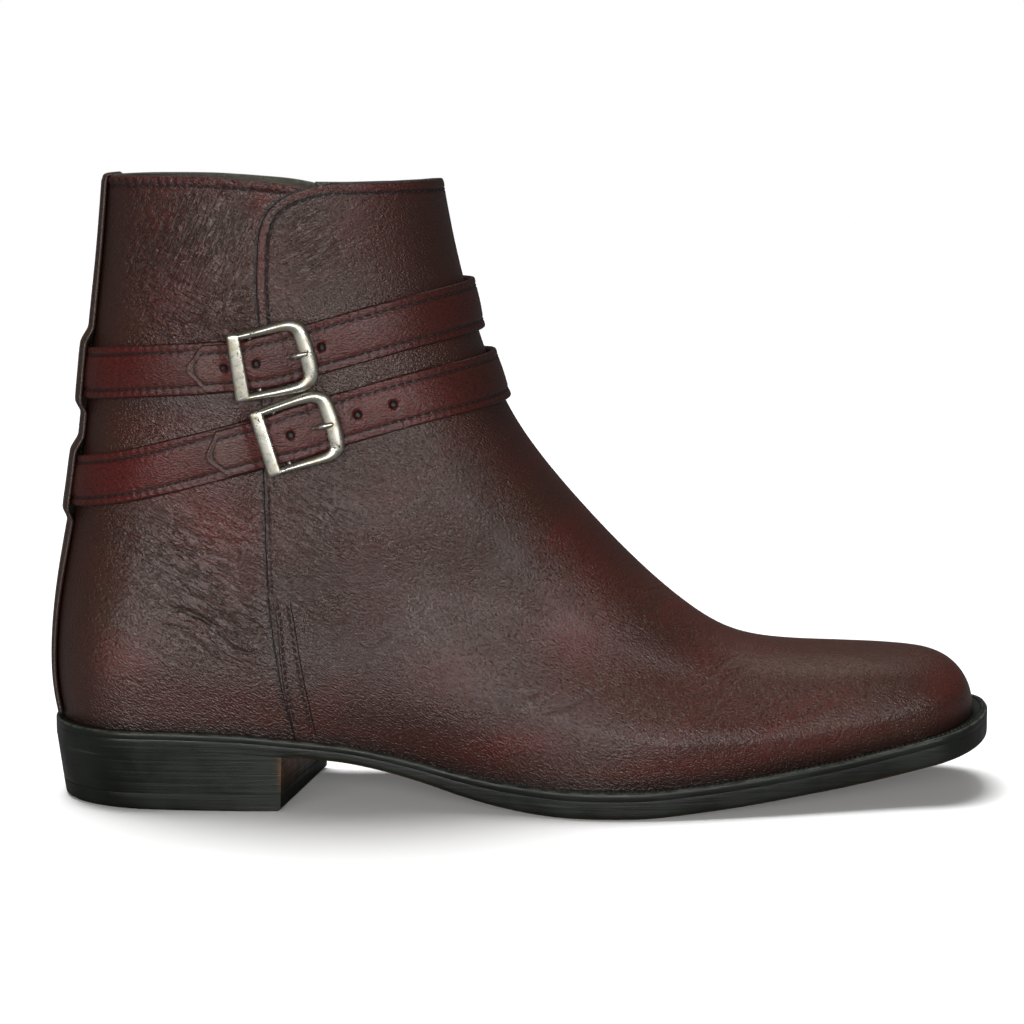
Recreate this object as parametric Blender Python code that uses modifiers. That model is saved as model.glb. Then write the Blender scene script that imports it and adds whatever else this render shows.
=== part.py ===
"""Right jodhpur boot: leather sole and stacked heel, hollow leather upper on a chisel-toed last,
two ankle straps with frame buckles on the outer side, and a back strip that holds the straps.

Row frame: +X to the toe, +Y to the inner (medial) side, +Z up, metres.
The origin lies on the floor under the middle of the heel. The tables below are in millimetres,
with x measured from the back of the sole, as a shoemaker marks a last.
"""
import math

import bmesh
import bpy
import numpy as np

# ---------------------------------------------------------------- driving sizes, millimetres
SOLE_LENGTH = 305.6        # outsole, heel to toe
HEEL_CENTRE = 32.0         # origin, from the back of the sole
COLLAR_BACK = 199.6        # height of the collar above the floor
COLLAR_FRONT = 198.8
UPPER_WALL = 2.4           # vamp or quarter leather with its lining
GAP = 0.35                 # clearance between curved pieces that touch
LASTING_MARGIN = 9.0       # upper turned in under the insole
INSOLE = 2.5
STRAP_WIDTH = 16.4
STRAP = 1.8                # doubled and stitched strap
BACKSTAY_WIDTH = 23.0
BACKSTAY = 1.4
BAR = 4.4                  # width of a buckle's end bars
FRAME_WINDOW = 16.8        # inside of the buckle, along the strap
FRAME_SIDE = 2.1
HEEL_TOP_PIECE = 5.5
FLAT_SPOT = (165.0, 186.0)  # the sole lies flat on the floor under the ball

# ---------------------------------------------------------------- tables
# underside of the outsole and the thickness of outsole and welt at its edge
SOLE = [
    # x,   underside, outsole, welt
    (0, 20.0, 3.5, 2.4),
    (30, 19.8, 3.5, 2.4),
    (60, 18.7, 3.5, 2.4),
    (76, 17.3, 3.4, 2.3),
    (94, 15.3, 3.3, 2.3),
    (107, 12.5, 3.5, 2.3),
    (120, 8.7, 4.0, 2.4),
    (132, 4.8, 4.7, 2.6),
    (145, 1.8, 5.4, 2.8),
    (157, 0.35, 5.8, 2.9),
    (165, 0.0, 5.9, 2.9),
    (186, 0.0, 5.9, 2.9),
    (208, 1.5, 5.8, 2.9),
    (224, 3.1, 5.8, 2.9),
    (240, 5.1, 5.8, 2.9),
    (256, 7.2, 6.0, 2.9),
    (271, 9.7, 6.2, 2.9),
    (284, 12.3, 6.3, 2.9),
    (295, 14.7, 6.4, 2.9),
    (306, 17.2, 6.4, 2.9),
]
# half widths of the outsole from the heel-to-toe axis, and the line on which its ends close
OUTLINE = [
    # x,  outer, inner, middle
    (0, 33.0, 33.0, 0.0),
    (30, 33.6, 33.2, 0.0),
    (60, 33.6, 32.4, 0.0),
    (85, 32.8, 30.4, 0.0),
    (110, 31.8, 28.6, 0.5),
    (130, 33.2, 31.0, 1.5),
    (145, 37.0, 36.0, 3.0),
    (157, 41.2, 41.5, 4.0),
    (170, 45.4, 47.0, 5.0),
    (183, 46.4, 51.5, 6.0),
    (195, 45.6, 54.5, 6.5),
    (210, 43.0, 56.5, 7.0),
    (230, 38.4, 55.4, 8.0),
    (250, 32.8, 51.0, 9.5),
    (270, 27.2, 45.2, 11.0),
    (290, 22.6, 38.8, 12.5),
    (306, 20.0, 34.5, 13.5),
]
# half widths of the upper: at the feather edge, at the fullest part of the side and below the top
LAST = [
    # x, feather: outer, inner, side: outer, inner, height, top: outer, inner, height, ridge
    (0, 29.6, 29.6, 32.6, 32.6, 22, 31.0, 31.0, 60, 0.0),
    (30, 30.6, 30.2, 33.6, 33.4, 22, 31.0, 31.0, 64, 0.0),
    (60, 30.6, 29.4, 34.0, 33.2, 24, 32.0, 31.6, 70, 0.2),
    (85, 29.8, 27.4, 34.6, 32.8, 26, 32.8, 31.8, 72, 0.6),
    (110, 28.8, 25.6, 35.4, 33.8, 28, 32.8, 31.8, 70, 1.4),
    (130, 30.0, 28.0, 36.8, 37.0, 26, 31.0, 32.0, 64, 2.6),
    (150, 34.8, 34.0, 39.4, 41.6, 22, 29.4, 32.8, 58, 4.2),
    (170, 40.4, 42.0, 42.6, 46.4, 17, 28.8, 34.4, 50, 5.6),
    (190, 41.0, 48.8, 43.0, 51.2, 14, 29.6, 37.4, 40, 6.6),
    (210, 38.2, 51.4, 40.0, 53.4, 12, 29.6, 40.6, 31, 7.2),
    (230, 33.6, 50.0, 35.2, 51.8, 10, 28.4, 42.0, 25, 7.4),
    (250, 28.0, 45.6, 29.6, 47.2, 9, 25.6, 41.6, 22, 7.8),
    (270, 22.6, 39.8, 24.0, 41.2, 9, 21.4, 37.0, 20, 8.6),
    (290, 17.8, 33.4, 18.8, 34.6, 9, 17.0, 31.4, 18, 9.8),
    (301, 15.6, 30.2, 16.6, 31.2, 9, 15.0, 28.6, 18, 10.4),
]
# back curve of the shaft and heel, with the rounding of the back and the shaft's half widths
SHAFT = [
    # z,  back x, back rounding, outer, inner
    (18, 4.4, 29.0, 33.5, 33.0),
    (26, 2.6, 30.0, 33.5, 33.0),
    (36, 1.0, 31.5, 33.5, 33.0),
    (48, 0.7, 33.0, 33.5, 33.0),
    (62, 1.8, 34.5, 33.5, 33.0),
    (76, 3.9, 37.0, 33.2, 32.6),
    (92, 6.9, 40.5, 33.0, 32.4),
    (110, 9.7, 44.0, 33.4, 32.8),
    (130, 12.1, 47.0, 34.0, 33.6),
    (150, 14.3, 49.0, 35.2, 34.8),
    (175, 17.3, 51.0, 37.0, 36.8),
    (205, 20.2, 53.0, 38.8, 38.8),
]
# front and top profile, from the collar down the shin and instep to the toe box
FRONT = [
    # x,    z,   rounding, squareness
    (125.6, 205.0, 50.0, 2.1),
    (130.2, 180.0, 49.0, 2.1),
    (134.6, 162.0, 47.5, 2.1),
    (140.2, 144.0, 45.0, 2.05),
    (147.4, 126.5, 41.0, 2.0),
    (157.7, 110.4, 36.5, 1.95),
    (171.0, 94.2, 32.5, 1.9),
    (190.3, 74.0, 30.0, 1.9),
    (206.0, 60.4, 29.0, 2.0),
    (220.5, 51.6, 27.0, 2.15),
    (237.0, 47.7, 24.5, 2.4),
    (256.0, 46.5, 22.5, 2.6),
    (270.0, 46.0, 21.5, 2.7),
    (290.0, 45.2, 21.0, 2.7),
    (310.0, 44.4, 21.0, 2.7),
]
TOE_TIP = 300.4            # feather edge at the toe
TOE_CORNER_LENGTH = 29.8   # chisel toe: side view of its corner
TOE_CORNER_BASE = 24.0
TOE_CORNER_TOP = 46.0
TOE_CORNER_POWER = 2.7
TOE_PLAN = [
    # side: rounding, power; the toe's inner corner is the squarer and lies further forward
    ("outer", 24.0, 2.4),
    ("inner", 19.0, 3.0),
]
BACK_POWER = 2.1

# centre lines of the straps seen from the side, on the outer and the inner side
STRAPS = {
    "upper": [
        # x,  outer z, inner z
        (13.0, 137.4, 137.4),
        (30.0, 139.6, 140.6),
        (50.0, 141.2, 144.6),
        (66.0, 142.8, 148.0),
        (80.0, 145.6, 151.0),
        (97.0, 149.9, 154.0),
        (118.0, 155.2, 157.4),
        (137.5, 158.8, 158.8),
    ],
    "lower": [
        (7.0, 102.6, 102.6),
        (30.0, 107.6, 108.6),
        (50.0, 112.9, 114.2),
        (66.0, 117.0, 118.4),
        (80.0, 121.2, 122.2),
        (97.0, 126.0, 126.8),
        (118.0, 131.4, 132.4),
        (144.0, 136.0, 136.0),
    ],
}
# where each buckle's window lies, x of its middle on the outer side, and the tip of the strap
BUCKLES = {
    # name: window middle, strap tip, x from the back of the sole
    "upper": (74.6, 48.6),
    "lower": (82.4, 53.6),
}
# height of the collar's edge, dipping a little at the side seams
COLLAR = [
    # x, height
    (19.0, 199.6),
    (34.0, 200.0),
    (50.0, 200.0),
    (64.0, 199.2),
    (77.0, 197.8),
    (90.0, 198.0),
    (105.0, 198.6),
    (128.0, 198.8),
]


# ---------------------------------------------------------------- curves through the tables
def spline(knots, values, at):
    """Natural cubic spline through the knots."""
    k = np.asarray(knots, float)
    v = np.asarray(values, float)
    n = len(k)
    h = np.diff(k)
    m = np.zeros((n, n))
    r = np.zeros(n)
    m[0, 0] = m[-1, -1] = 1.0
    for i in range(1, n - 1):
        m[i, i - 1], m[i, i], m[i, i + 1] = h[i - 1], 2 * (h[i - 1] + h[i]), h[i]
        r[i] = 6 * ((v[i + 1] - v[i]) / h[i] - (v[i] - v[i - 1]) / h[i - 1])
    c = np.linalg.solve(m, r)
    t = np.clip(np.asarray(at, float), k[0], k[-1])
    i = np.clip(np.searchsorted(k, t, side="right") - 1, 0, n - 2)
    a, b = (k[i + 1] - t) / h[i], (t - k[i]) / h[i]
    return a * v[i] + b * v[i + 1] + ((a**3 - a) * c[i] + (b**3 - b) * c[i + 1]) * h[i] ** 2 / 6


def monotone(knots, values, at):
    """Cubic that keeps level stretches level, for the sole's resting line."""
    k = np.asarray(knots, float)
    v = np.asarray(values, float)
    h = np.diff(k)
    d = np.diff(v) / h
    s = np.zeros(len(k))
    for i in range(1, len(k) - 1):
        if d[i - 1] * d[i] > 0:
            w1, w2 = 2 * h[i] + h[i - 1], h[i] + 2 * h[i - 1]
            s[i] = (w1 + w2) / (w1 / d[i - 1] + w2 / d[i])
    s[0], s[-1] = d[0], d[-1]
    t = np.clip(np.asarray(at, float), k[0], k[-1])
    i = np.clip(np.searchsorted(k, t, side="right") - 1, 0, len(k) - 2)
    u = (t - k[i]) / h[i]
    return ((1 + 2 * u) * (1 - u) ** 2 * v[i] + u * (1 - u) ** 2 * h[i] * s[i]
            + u**2 * (3 - 2 * u) * v[i + 1] + u**2 * (u - 1) * h[i] * s[i + 1])


def column(table, j):
    return [row[j] for row in table]


def table(rows, j, at, how=spline):
    return how(column(rows, 0), column(rows, j), at)


def smooth(t):
    t = np.clip(t, 0, 1)
    return t * t * (3 - 2 * t)


def underside(x):
    return table(SOLE, 1, x, monotone)


def outsole_top(x):
    return underside(x) + table(SOLE, 2, x, monotone)


def welt_top(x):
    return outsole_top(x) + table(SOLE, 3, x, monotone)


def dense_front():
    """The front profile as a fine line, with its rounding and squareness."""
    pts = np.array(FRONT, float)
    t = np.concatenate([[0], np.cumsum(np.hypot(*np.diff(pts[:, :2], axis=0).T))])
    u = np.linspace(0, t[-1], 700)
    return np.stack([spline(t, pts[:, j], u) for j in range(4)], axis=1)


FRONT_LINE = dense_front()


def front_distance(x, z):
    """Distance to the front profile, and its rounding and squareness at the nearest place."""
    shape = np.shape(x)
    x, z = np.ravel(x), np.ravel(z)
    i = np.empty(len(x), int)
    for a in range(0, len(x), 4000):
        gap = (x[a:a + 4000, None] - FRONT_LINE[:, 0]) ** 2 + (z[a:a + 4000, None] - FRONT_LINE[:, 1]) ** 2
        i[a:a + 4000] = gap.argmin(1)
    j = np.clip(i, 1, len(FRONT_LINE) - 2)
    along = FRONT_LINE[j + 1, :2] - FRONT_LINE[j - 1, :2]
    along /= np.hypot(along[:, 0], along[:, 1])[:, None]
    to = np.stack([x, z], 1) - FRONT_LINE[j, :2]
    d = to[:, 0] * along[:, 1] - to[:, 1] * along[:, 0]   # positive inside the boot
    return (np.maximum(d, 0).reshape(shape), FRONT_LINE[j, 2].reshape(shape),
            FRONT_LINE[j, 3].reshape(shape))


def toe_x(z):
    """Side view of the toe's end: upright at the feather, rounded over into the toe box."""
    t = np.clip((np.asarray(z, float) - TOE_CORNER_BASE) / (TOE_CORNER_TOP - TOE_CORNER_BASE), 0, 1)
    lean = 0.6 * t
    return TOE_TIP - lean - TOE_CORNER_LENGTH + TOE_CORNER_LENGTH * (1 - t**TOE_CORNER_POWER) ** (1 / TOE_CORNER_POWER)


def front_x(z):
    """x of the shin's profile at a height."""
    return np.interp(z, FRONT_LINE[::-1, 1], FRONT_LINE[::-1, 0])


def rounding(d, r, power):
    """0 at the silhouette, 1 at a distance r inside it, round in between."""
    t = np.clip(1 - np.asarray(d, float) / r, 0, 1)
    return (1 - t**power) ** (1 / power)


def ridge(x):
    return table(LAST, 9, np.clip(x, 0, 301))


def half_width(x, z, inner):
    """Half width of the upper's outer surface at a place in the side view, before its ends are rounded."""
    x, z = np.asarray(x, float), np.asarray(z, float)
    xc = np.clip(x, 0, 301)
    j = 1 if inner else 0
    feather, side, top = (table(LAST, c + j, xc) for c in (1, 3, 6))
    h = z - welt_top(xc)
    hs, ht = table(LAST, 5, xc), table(LAST, 8, xc)
    low = feather + (side - feather) * np.sin(np.clip(h / hs, 0, 1) * math.pi / 2)
    high = side + (top - side) * smooth((h - hs) / (ht - hs))
    foot = np.where(h < hs, low, high)
    shaft = table(SHAFT, 3 + j, z)
    return foot + (shaft - foot) * smooth((z - 72) / 46)


def surface_y(x, z, inner):
    """Y of the upper's outer surface seen from the side, in millimetres."""
    x, z = np.asarray(x, float), np.asarray(z, float)
    d, r, power = front_distance(x, z)
    e = rounding(d, r, power)
    _, r_toe, power_toe = TOE_PLAN[1 if inner else 0]
    e = e * rounding(toe_x(z) - x, r_toe, power_toe)
    e = e * rounding(x - table(SHAFT, 1, z), table(SHAFT, 2, z), BACK_POWER)
    mid = ridge(x) * (1 - smooth((z - 90) / 50))
    w = half_width(x, z, inner)
    return mid + ((w if inner else -w) - mid) * e


# ---------------------------------------------------------------- rings of the upper
def end_line():
    """From the feather edge at the toe, over the toe box and up the instep to the collar."""
    z0 = float(welt_top(TOE_TIP))
    t = np.linspace(0, math.pi / 2, 60)
    z = TOE_CORNER_BASE + (TOE_CORNER_TOP - TOE_CORNER_BASE) * np.sin(t) ** (2 / TOE_CORNER_POWER)
    z = z[z > z0 + 0.2]
    toe = np.stack([toe_x(np.append([z0], z)), np.append([z0], z)], 1)
    top = FRONT_LINE[::-1, :2]
    top = top[(top[:, 0] < toe[-1, 0] - 0.3) & (top[:, 1] < COLLAR_FRONT)]
    line = np.concatenate([toe, top])
    s = np.concatenate([[0], np.cumsum(np.hypot(*np.diff(line, axis=0).T))])
    return line, s


END_LINE, END_S = end_line()
RING_ROWS = [
    # share of the ring stack, how far along the toe-to-collar line (mm), back height (mm)
    (0.00, 0.0, 25.9),
    (0.08, 6.0, 31.0),
    (0.16, 13.0, 37.5),
    (0.24, 24.0, 45.0),
    (0.34, 50.0, 56.0),
    (0.46, 96.0, 70.0),
    (0.58, 145.0, 88.0),
    (0.70, 195.0, 112.0),
    (0.85, 248.0, 155.0),
    (1.00, END_S[-1], COLLAR_BACK),
]


def ring_trace(v, n):
    """Side view of one ring: n points from the back of the boot to its front."""
    sf = float(table(RING_ROWS, 1, v, monotone))
    zb = float(table(RING_ROWS, 2, v, monotone))
    f = np.array([np.interp(sf, END_S, END_LINE[:, k]) for k in (0, 1)])
    g = np.array([np.interp(min(sf + 1.5, END_S[-1]), END_S, END_LINE[:, k])
                  - np.interp(max(sf - 1.5, 0), END_S, END_LINE[:, k]) for k in (0, 1)])
    g /= np.hypot(*g)
    inward = np.array([-g[1], g[0]])     # square to the profile, into the boot
    b = np.array([float(table(SHAFT, 1, zb)), zb])
    span = np.hypot(*(f - b))
    reach = 13.0 + (0.38 * span - 13.0) * smooth((f[1] - 45) / 90)
    if f[1] < 45 and inward[0] < -0.5:
        reach = 18.0
    c1, c2 = b + [0.35 * span, 0], f + inward * reach
    t = (1 - np.cos(np.linspace(0, math.pi, n))) / 2
    a = np.stack([(1 - t) ** 3, 3 * t * (1 - t) ** 2, 3 * t * t * (1 - t), t**3], 1)
    trace = a @ np.stack([b, c1, c2, f])
    # the lowest ring is the feather edge, and the rings above it straighten out by degrees
    b0 = np.array([float(table(SHAFT, 1, welt_top(2.6))), float(welt_top(2.6))])
    xs = b0[0] + (TOE_TIP - b0[0]) * t
    edge = np.stack([xs, welt_top(xs)], 1)
    if v < 0.62:
        first = ring_bezier_zero(t)
        trace = trace + (edge - first) * (1 - smooth(v / 0.62)) ** 1.0
    return trace


def ring_bezier_zero(t):
    b = np.array([float(table(SHAFT, 1, 25.9)), 25.9])
    f = END_LINE[0]
    span = np.hypot(*(f - b))
    c1, c2 = b + [0.35 * span, 0], f + np.array([-18.0, 0])
    a = np.stack([(1 - t) ** 3, 3 * t * (1 - t) ** 2, 3 * t * t * (1 - t), t**3], 1)
    return a @ np.stack([b, c1, c2, f])


def half_ring(v, inner, n=420):
    """One side of a ring as a fine line in space, from back to front."""
    tr = ring_trace(v, n)
    x, z = tr[:, 0].copy(), tr[:, 1].copy()
    if v > 0.8:
        top = ring_trace(1.0, n)
        share = (x - table(SHAFT, 1, z)) / (front_x(z) - table(SHAFT, 1, z))
        z += (table(COLLAR, 1, top[:, 0]) - top[:, 1]) * smooth((v - 0.8) / 0.2)
        x = table(SHAFT, 1, z) + share * (front_x(z) - table(SHAFT, 1, z))
    y = surface_y(x, z, inner)
    for k in (0, -1):
        y[k] = float(ridge(x[k])) * (1 - float(smooth((z[k] - 90) / 50)))
    return np.stack([x, y, z], 1)


def at_shares(line, shares):
    s = np.concatenate([[0], np.cumsum(np.linalg.norm(np.diff(line, axis=0), axis=1))])
    return np.stack([np.interp(shares * s[-1], s, line[:, k]) for k in range(3)], 1)


def ring_shares(n):
    """Where a ring's points lie, closer together round the heel and the toe."""
    t = np.linspace(0, 1, n + 1)
    return t - 0.055 * np.sin(2 * math.pi * t)


def ring(v, n):
    """A closed ring: back, outer side, front, inner side."""
    sh = ring_shares(n)
    outer = at_shares(half_ring(v, False), sh)
    inner = at_shares(half_ring(v, True), sh)
    return np.concatenate([outer, inner[-2:0:-1]])


# ---------------------------------------------------------------- helpers that make objects
MM = 0.001


def to_row(points):
    p = np.asarray(points, float)
    return (p - [HEEL_CENTRE, 0, 0]) * MM


def clear_scene():
    for o in list(bpy.data.objects):
        bpy.data.objects.remove(o, do_unlink=True)


def material(name, colour, roughness, metallic=0.0):
    m = bpy.data.materials.new(name)
    m.use_nodes = True
    p = m.node_tree.nodes["Principled BSDF"]
    p.inputs["Base Color"].default_value = (*colour, 1)
    p.inputs["Roughness"].default_value = roughness
    p.inputs["Metallic"].default_value = metallic
    return m


def add(name, verts, faces, mat, collection, smooth_angle=40):
    mesh = bpy.data.meshes.new(name)
    mesh.from_pydata([tuple(v) for v in verts], [], [tuple(int(i) for i in f) for f in faces])
    mesh.validate()
    bm = bmesh.new()
    bm.from_mesh(mesh)
    bmesh.ops.recalc_face_normals(bm, faces=bm.faces)
    bm.to_mesh(mesh)
    bm.free()
    mesh.materials.append(mat)
    mesh.shade_smooth()
    mesh.set_sharp_from_angle(angle=math.radians(smooth_angle))
    obj = bpy.data.objects.new(name, mesh)
    collection.objects.link(obj)
    return obj


def loft(loops, closed_loop=True, cap_ends=False):
    """Faces between loops that have the same number of points."""
    n = len(loops[0])
    verts = np.concatenate(loops)
    faces = []
    steps = n if closed_loop else n - 1
    for r in range(len(loops) - 1):
        for i in range(steps):
            j = (i + 1) % n
            faces.append((r * n + i, r * n + j, (r + 1) * n + j, (r + 1) * n + i))
    if cap_ends:
        faces.append(tuple(range(n))[::-1])
        faces.append(tuple((len(loops) - 1) * n + i for i in range(n)))
    return verts, faces


def plan_normals(loop):
    """Outward direction in plan at each point of a closed loop seen from above."""
    ahead, behind = np.roll(loop, -1, 0), np.roll(loop, 1, 0)
    t = ahead[:, :2] - behind[:, :2]
    t /= np.linalg.norm(t, axis=1)[:, None]
    return np.stack([t[:, 1], -t[:, 0], np.zeros(len(loop))], 1) * (
        -1 if signed_area(loop) < 0 else 1)


def signed_area(loop):
    x, y = loop[:, 0], loop[:, 1]
    return 0.5 * float((x * np.roll(y, -1) - np.roll(x, -1) * y).sum())


def outset(loop, by):
    return loop + plan_normals(loop) * by


def stations(n, lo, hi, end):
    """x of n + 1 places from lo to hi, crowded over the last few millimetres at both ends."""
    t = np.linspace(0, 1, n + 1)
    t = t - end * np.sin(2 * math.pi * t) / (2 * math.pi)
    return lo + (hi - lo) * t


def outline_sides(inset, n):
    """x, outer y and inner y of the sole's outline, drawn in by inset."""
    lo, hi = inset, SOLE_LENGTH - inset
    t = (1 - np.cos(np.linspace(0, math.pi, n + 1))) / 2
    u = stations(n, 0, 1, 0.88)
    t = 0.35 * t + 0.65 * u
    x = lo + (hi - lo) * t
    for flat in FLAT_SPOT:
        x[np.argmin(abs(x - flat))] = flat
    mid = table(OUTLINE, 3, x)
    back = rounding(x - lo, 31.0, BACK_POWER)
    sides = []
    for j, sign, r_toe, power_toe in ((1, -1, 21.0, 2.1), (2, 1, 14.0, 2.6)):
        e = back * rounding(hi - x, r_toe, power_toe)
        y = mid + (sign * (table(OUTLINE, j, x) - inset) - mid) * e
        y[[0, -1]] = mid[[0, -1]]
        sides.append(y)
    return x, sides[0], sides[1]


def plate(name, sides, levels, mat, collection):
    """A closed plate: one loop of the outline for each level, filled across at both ends of the stack."""
    n = len(sides[0][0])
    verts, faces = [], []
    for (x, outer, inner), z_of in zip(sides, levels):
        z = z_of(x)
        loop = [(x[i], outer[i], z[i]) for i in range(n)]
        loop += [(x[i], inner[i], z[i]) for i in range(n - 2, 0, -1)]
        verts += loop
    m = 2 * n - 2
    for r in range(len(sides) - 1):
        for i in range(m):
            j = (i + 1) % m
            faces.append((r * m + i, r * m + j, (r + 1) * m + j, (r + 1) * m + i))
    for base in (0, (len(sides) - 1) * m):
        faces.append((base, base + 1, base + m - 1))
        for i in range(1, n - 2):
            faces.append((base + i, base + i + 1, base + m - i - 1, base + m - i))
        faces.append((base + n - 2, base + n - 1, base + n))
    return add(name, to_row(verts), faces, mat, collection)


# ---------------------------------------------------------------- sole, welt, heel, insole
def feather_loop(n):
    return ring(0.0, n)


def make_sole(c, mats, n):
    def lift(z_of, dz):
        return lambda x: z_of(x) + dz
    outsole = plate(
        "outsole",
        [outline_sides(i, n) for i in (1.4, 0.35, 0.0, 0.0)],
        [underside, lift(underside, 0.45), lift(underside, 1.5), outsole_top],
        mats["sole"], c)
    # welt: a ring from the edge of the sole in to the upper
    x, outer, inner = outline_sides(0.0, 60)
    edge = np.concatenate([np.stack([x, outer, x * 0], 1), np.stack([x, inner, x * 0], 1)[-2:0:-1]])
    feather = feather_loop(n + 2)
    hole = outset(feather, GAP + 0.05)
    s_edge = resample_closed_to(edge, hole)

    def levels(loop, z_of, dz):
        out = loop.copy()
        out[:, 2] = z_of(loop[:, 0]) + dz
        return out
    near = outset(s_edge, -0.5)
    loops = [levels(hole, outsole_top, 0.3), levels(s_edge, outsole_top, 0.3),
             levels(s_edge, welt_top, -0.5), levels(near, welt_top, 0.0), levels(hole, welt_top, 0.0)]
    loops.append(loops[0])
    verts, faces = loft(loops[:-1])
    m = len(hole)
    for i in range(m):
        j = (i + 1) % m
        faces.append((4 * m + i, 4 * m + j, j, i))
    add("welt", to_row(verts), faces, mats["sole"], c)
    return outsole


def resample_closed_to(edge, loop):
    """The point of the edge that lies straight out from each point of the loop."""
    out = []
    e = np.concatenate([edge, edge[:1]])
    normals = plan_normals(loop)
    for p, nrm in zip(loop, normals):
        best = None
        for a, b in zip(e[:-1], e[1:]):
            d = b[:2] - a[:2]
            den = nrm[0] * d[1] - nrm[1] * d[0]
            if abs(den) < 1e-9:
                continue
            w = a[:2] - p[:2]
            s = (w[0] * d[1] - w[1] * d[0]) / den
            t = (w[0] * nrm[1] - w[1] * nrm[0]) / den
            if s > 0 and -1e-6 <= t <= 1 + 1e-6 and (best is None or s < best[0]):
                best = (s, a + t * (b - a))
        out.append(best[1])
    return np.array(out)


HEEL_BREAST = (75.5, 86.5)   # x at the outer and the inner edge of the heel's front


def heel_sides(inset_back, inset_side, breast_shift, n):
    """Heel outline at one level: rounded back, sides, and the slanting front at the last place.
    The sides are drawn in at the back only, so the heel is as wide as the sole at its front."""
    lo = inset_back
    t = np.linspace(0, 1, n + 1)
    t = t - 0.10 * np.sin(2 * math.pi * t) * (t < 0.5) * 1.0
    outer, inner = [], []
    for side, hi in ((0, HEEL_BREAST[0]), (1, HEEL_BREAST[1])):
        x = lo + (hi + breast_shift - lo) * t**1.6
        e = rounding(x - lo, 31.0, BACK_POWER)
        y = (table(OUTLINE, 1 + side, x) - inset_side * (1 - smooth(x / 74.0))) * e
        (inner if side else outer).append(np.stack([x, y if side else -y], 1))
    return outer[0], inner[0]


def make_heel(c, mats, n=14):
    def loop_at(height, share_down):
        """share_down is 0 at the seat and 1 at the floor."""
        back = 0.3 + 2.5 * share_down
        side = 0.2 + 3.6 * share_down
        o, i = heel_sides(back, side, -0.4 * share_down, n)
        flat = np.concatenate([o, i[-1:0:-1]])
        z = height(flat[:, 0]) if callable(height) else np.full(len(flat), float(height))
        return np.stack([flat[:, 0], flat[:, 1], z], 1)

    def block(name, loops, mat):
        m = len(loops[0])
        verts, faces = loft(loops)
        for base in (0, (len(loops) - 1) * m):
            faces.append((base, base + 1, base + m - 1))
            for i in range(1, n):
                faces.append((base + i, base + i + 1, base + m - i - 1, base + m - i))
        add(name, to_row(verts), faces, mat, c)
    seat = lambda x: underside(x) - 0.3
    top_piece = HEEL_TOP_PIECE
    block("heel_stack", [loop_at(seat, 0.02), loop_at(lambda x: underside(x) * 0.5 + 4, 0.45),
                         loop_at(top_piece + 0.3, 0.70)], mats["heel"])
    block("heel_top_piece", [loop_at(top_piece, 0.71), loop_at(0.8, 0.96), loop_at(0.0, 1.12)], mats["rubber"])


def inner_sides(inset, n):
    """Outline of the insole: the feather edge drawn in, sampled at shared x."""
    loop_o = half_ring(0.0, False)
    loop_i = half_ring(0.0, True)
    lo, hi = loop_o[0, 0] + inset, loop_o[-1, 0] - inset
    t = 0.35 * (1 - np.cos(np.linspace(0, math.pi, n + 1))) / 2 + 0.65 * stations(n, 0, 1, 0.88)
    x = lo + (hi - lo) * t
    back = rounding(x - lo, 29.0 - inset * 0.6, BACK_POWER)
    mid = ridge(x)
    sides = []
    for j, sign in ((1, -1), (2, 1)):
        _, r_toe, power_toe = TOE_PLAN[j - 1]
        e = back * rounding(hi - x, r_toe - inset * 0.6, power_toe)
        sides.append(mid + (sign * (table(LAST, j, x) - inset) - mid) * e)
    return x, sides[0], sides[1]


def make_insole(c, mats, n):
    inset = UPPER_WALL + 0.75
    base = lambda x: outsole_top(x) + GAP + UPPER_WALL + 0.35
    top = lambda x: base(x) + INSOLE
    low = lambda x: base(x) + 0.9
    plate("insole", [inner_sides(inset + 0.9, n), inner_sides(inset, n), inner_sides(inset, n)],
          [base, low, top], mats["insole"], c)


# ---------------------------------------------------------------- upper
def upper_loops(n, rings):
    feather = feather_loop(n)
    loops = []

    def under(inset, dz):
        out = outset(feather, -inset)
        out[:, 2] = outsole_top(out[:, 0]) + dz
        return out
    loops.append(under(LASTING_MARGIN, GAP))
    loops.append(under(2.6, GAP))
    loops.append(under(0.75, GAP + 0.55))
    loops.append(under(0.0, GAP + 2.1))
    for v in rings:
        loops.append(ring(v, n))
    return loops


def make_upper(c, mats, n=28, rings=None):
    if rings is None:
        rings = [0.0, 0.04, 0.08, 0.12, 0.16, 0.205, 0.255, 0.305, 0.355, 0.405, 0.455, 0.505, 0.56,
                 0.615, 0.67, 0.725, 0.78, 0.835, 0.89, 0.945, 1.0]
    verts, faces = loft(upper_loops(n, rings))
    obj = add("upper", to_row(verts), faces, mats["leather"], c, 50)
    s = obj.modifiers.new("wall", "SOLIDIFY")
    s.thickness = UPPER_WALL * MM
    s.offset = -1.0
    s.use_quality_normals = True
    return obj


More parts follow.
